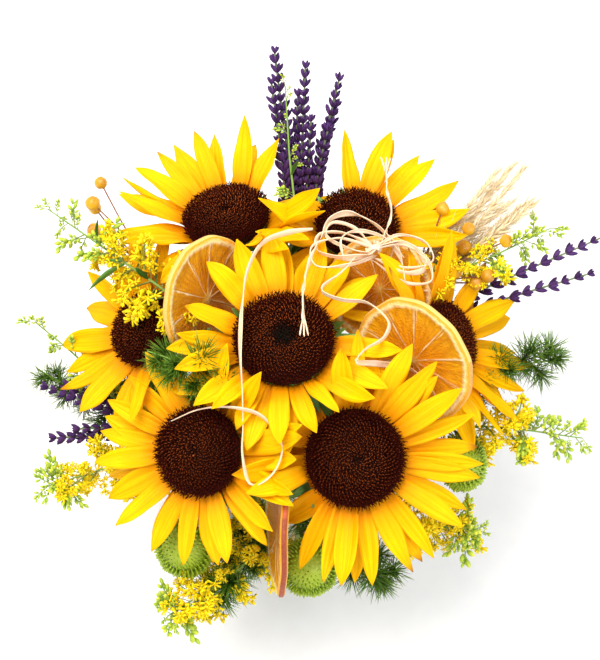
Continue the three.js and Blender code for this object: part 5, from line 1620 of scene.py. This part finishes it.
def boll(at, seed):
    """A round seed head of five swollen cells that meet in a small point."""
    sides, rings = 20, 11
    size = 4.5 * (1 + 0.08 * uneven(seed))
    points, values = [], []
    for i in range(1, rings):
        polar = math.pi * i / rings
        for k in range(sides):
            turn = 2 * math.pi * k / sides
            r = size * (1 - 0.06 * abs(math.cos(2.5 * turn)) ** 8 * math.sin(polar))
            out = r * math.sin(polar)
            points.append((out * math.cos(turn), out * math.sin(turn), -r * math.cos(polar)))
            values.append(i / rings)
    points += [(0, 0, -size * 0.98), (0, 0, size * 1.22)]
    values += [0, 1]
    lean = leaning(60 * seed, 25 + 20 * uneven(seed + 3))
    points = placed(points, facing_frame(at, lean))
    marks = {"along": values, "shade": [0.5 + 0.5 * uneven(seed + 8)] * len(points)}
    mesh = mesh_of("boll", points, barrel_faces(rings - 1, sides), marks)
    mesh.materials.append(BOLL)
    return mesh


for rank, (name, (_, spread)) in enumerate(SEED_HEADS.items()):
    route = thin_route(4, name)
    meshes = [thin_stem(route, BOLL_STALK, tip=0.7)]
    start = route[-4]
    for k, place in enumerate(spread):
        at = around(place)
        middle = (start + at) / 2 + np.array([2 * uneven(k), 2 * uneven(k + 5), 3.0])
        meshes.append(stalk(smooth_route([start, middle, at], 14), 0.5, BOLL_STALK, sides=5, foot=False))
        meshes.append(boll(at, rank * 10 + k))
    finished(f"seed_heads_{name}_bolls", meshes, f"seed_heads_{name}")

for seed, (name, (_, bare)) in enumerate(GRASS_EARS.items()):
    route = thin_route(5, name, 110)
    meshes = [thin_stem(route, HUSK, tip=0.3)]
    ears = [(route, 1 - bare * 0.7)]
    for k in range(3):
        side = beside(route, 0.62, 1 - 0.03 * k, 9, 120 * k + 40 * seed)
        ears.append((side, 0.2))
        meshes.append(stalk(side, 0.5, HUSK, sides=5, foot=False))
    for k, (ear, first) in enumerate(ears):
        spread = {"First": first, "Last": 0.985, "Size": 1.0, "Size At Tip": 0.7, "Unevenness": 0.2}
        meshes.append(sprig(ear, husk, HUSK, seed + 5, Count=70, Lean=0.5, **spread, **{"Lean At Tip": 0.25}))
        meshes[-1].shade_smooth()
        for j, lean in enumerate((0.25, 0.5)):
            hairs = {"Count": 90, "Lean": lean, "Lean At Tip": 0.6 * lean}
            meshes.append(sprig(ear, awn, HUSK, seed + 5 + 7 * j + k, **spread, **hairs))
    finished(f"grass_ear_{name}_husks", meshes, f"grass_ear_{name}")

for thing in list(stock.objects):
    bpy.data.objects.remove(thing)
bpy.data.collections.remove(stock)

# ================================================================ floor

# smooth matt paper sweep, so fine-grained that only its softness shows
paper, tree, shader, marks = material_of("paper_sweep", Roughness=0.9)
grain = add(tree, "ShaderNodeTexNoise", {0: marks["place"], "Scale": 60.0, "Detail": 2.0}).outputs[0]
tone = add(tree, "ShaderNodeValToRGB", {0: grain}, stops=[(0.3, "#F6F6F6"), (0.7, "#F9F9F9")]).outputs[0]
tree.links.new(tone, shader.inputs["Base Color"])
reach, under = 3000, -0.3
corners = [(-reach, -reach, under), (reach, -reach, under), (reach, reach, under), (-reach, reach, under)]
floor_mesh = mesh_of("floor", corners, [(0, 1, 2, 3)])
floor_mesh.materials.append(paper)
hosted(floor_mesh)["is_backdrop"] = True

looks_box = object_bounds()
sizes = {"cad": [list(corner) for corner in cad_box], "looks": [list(corner) for corner in looks_box]}
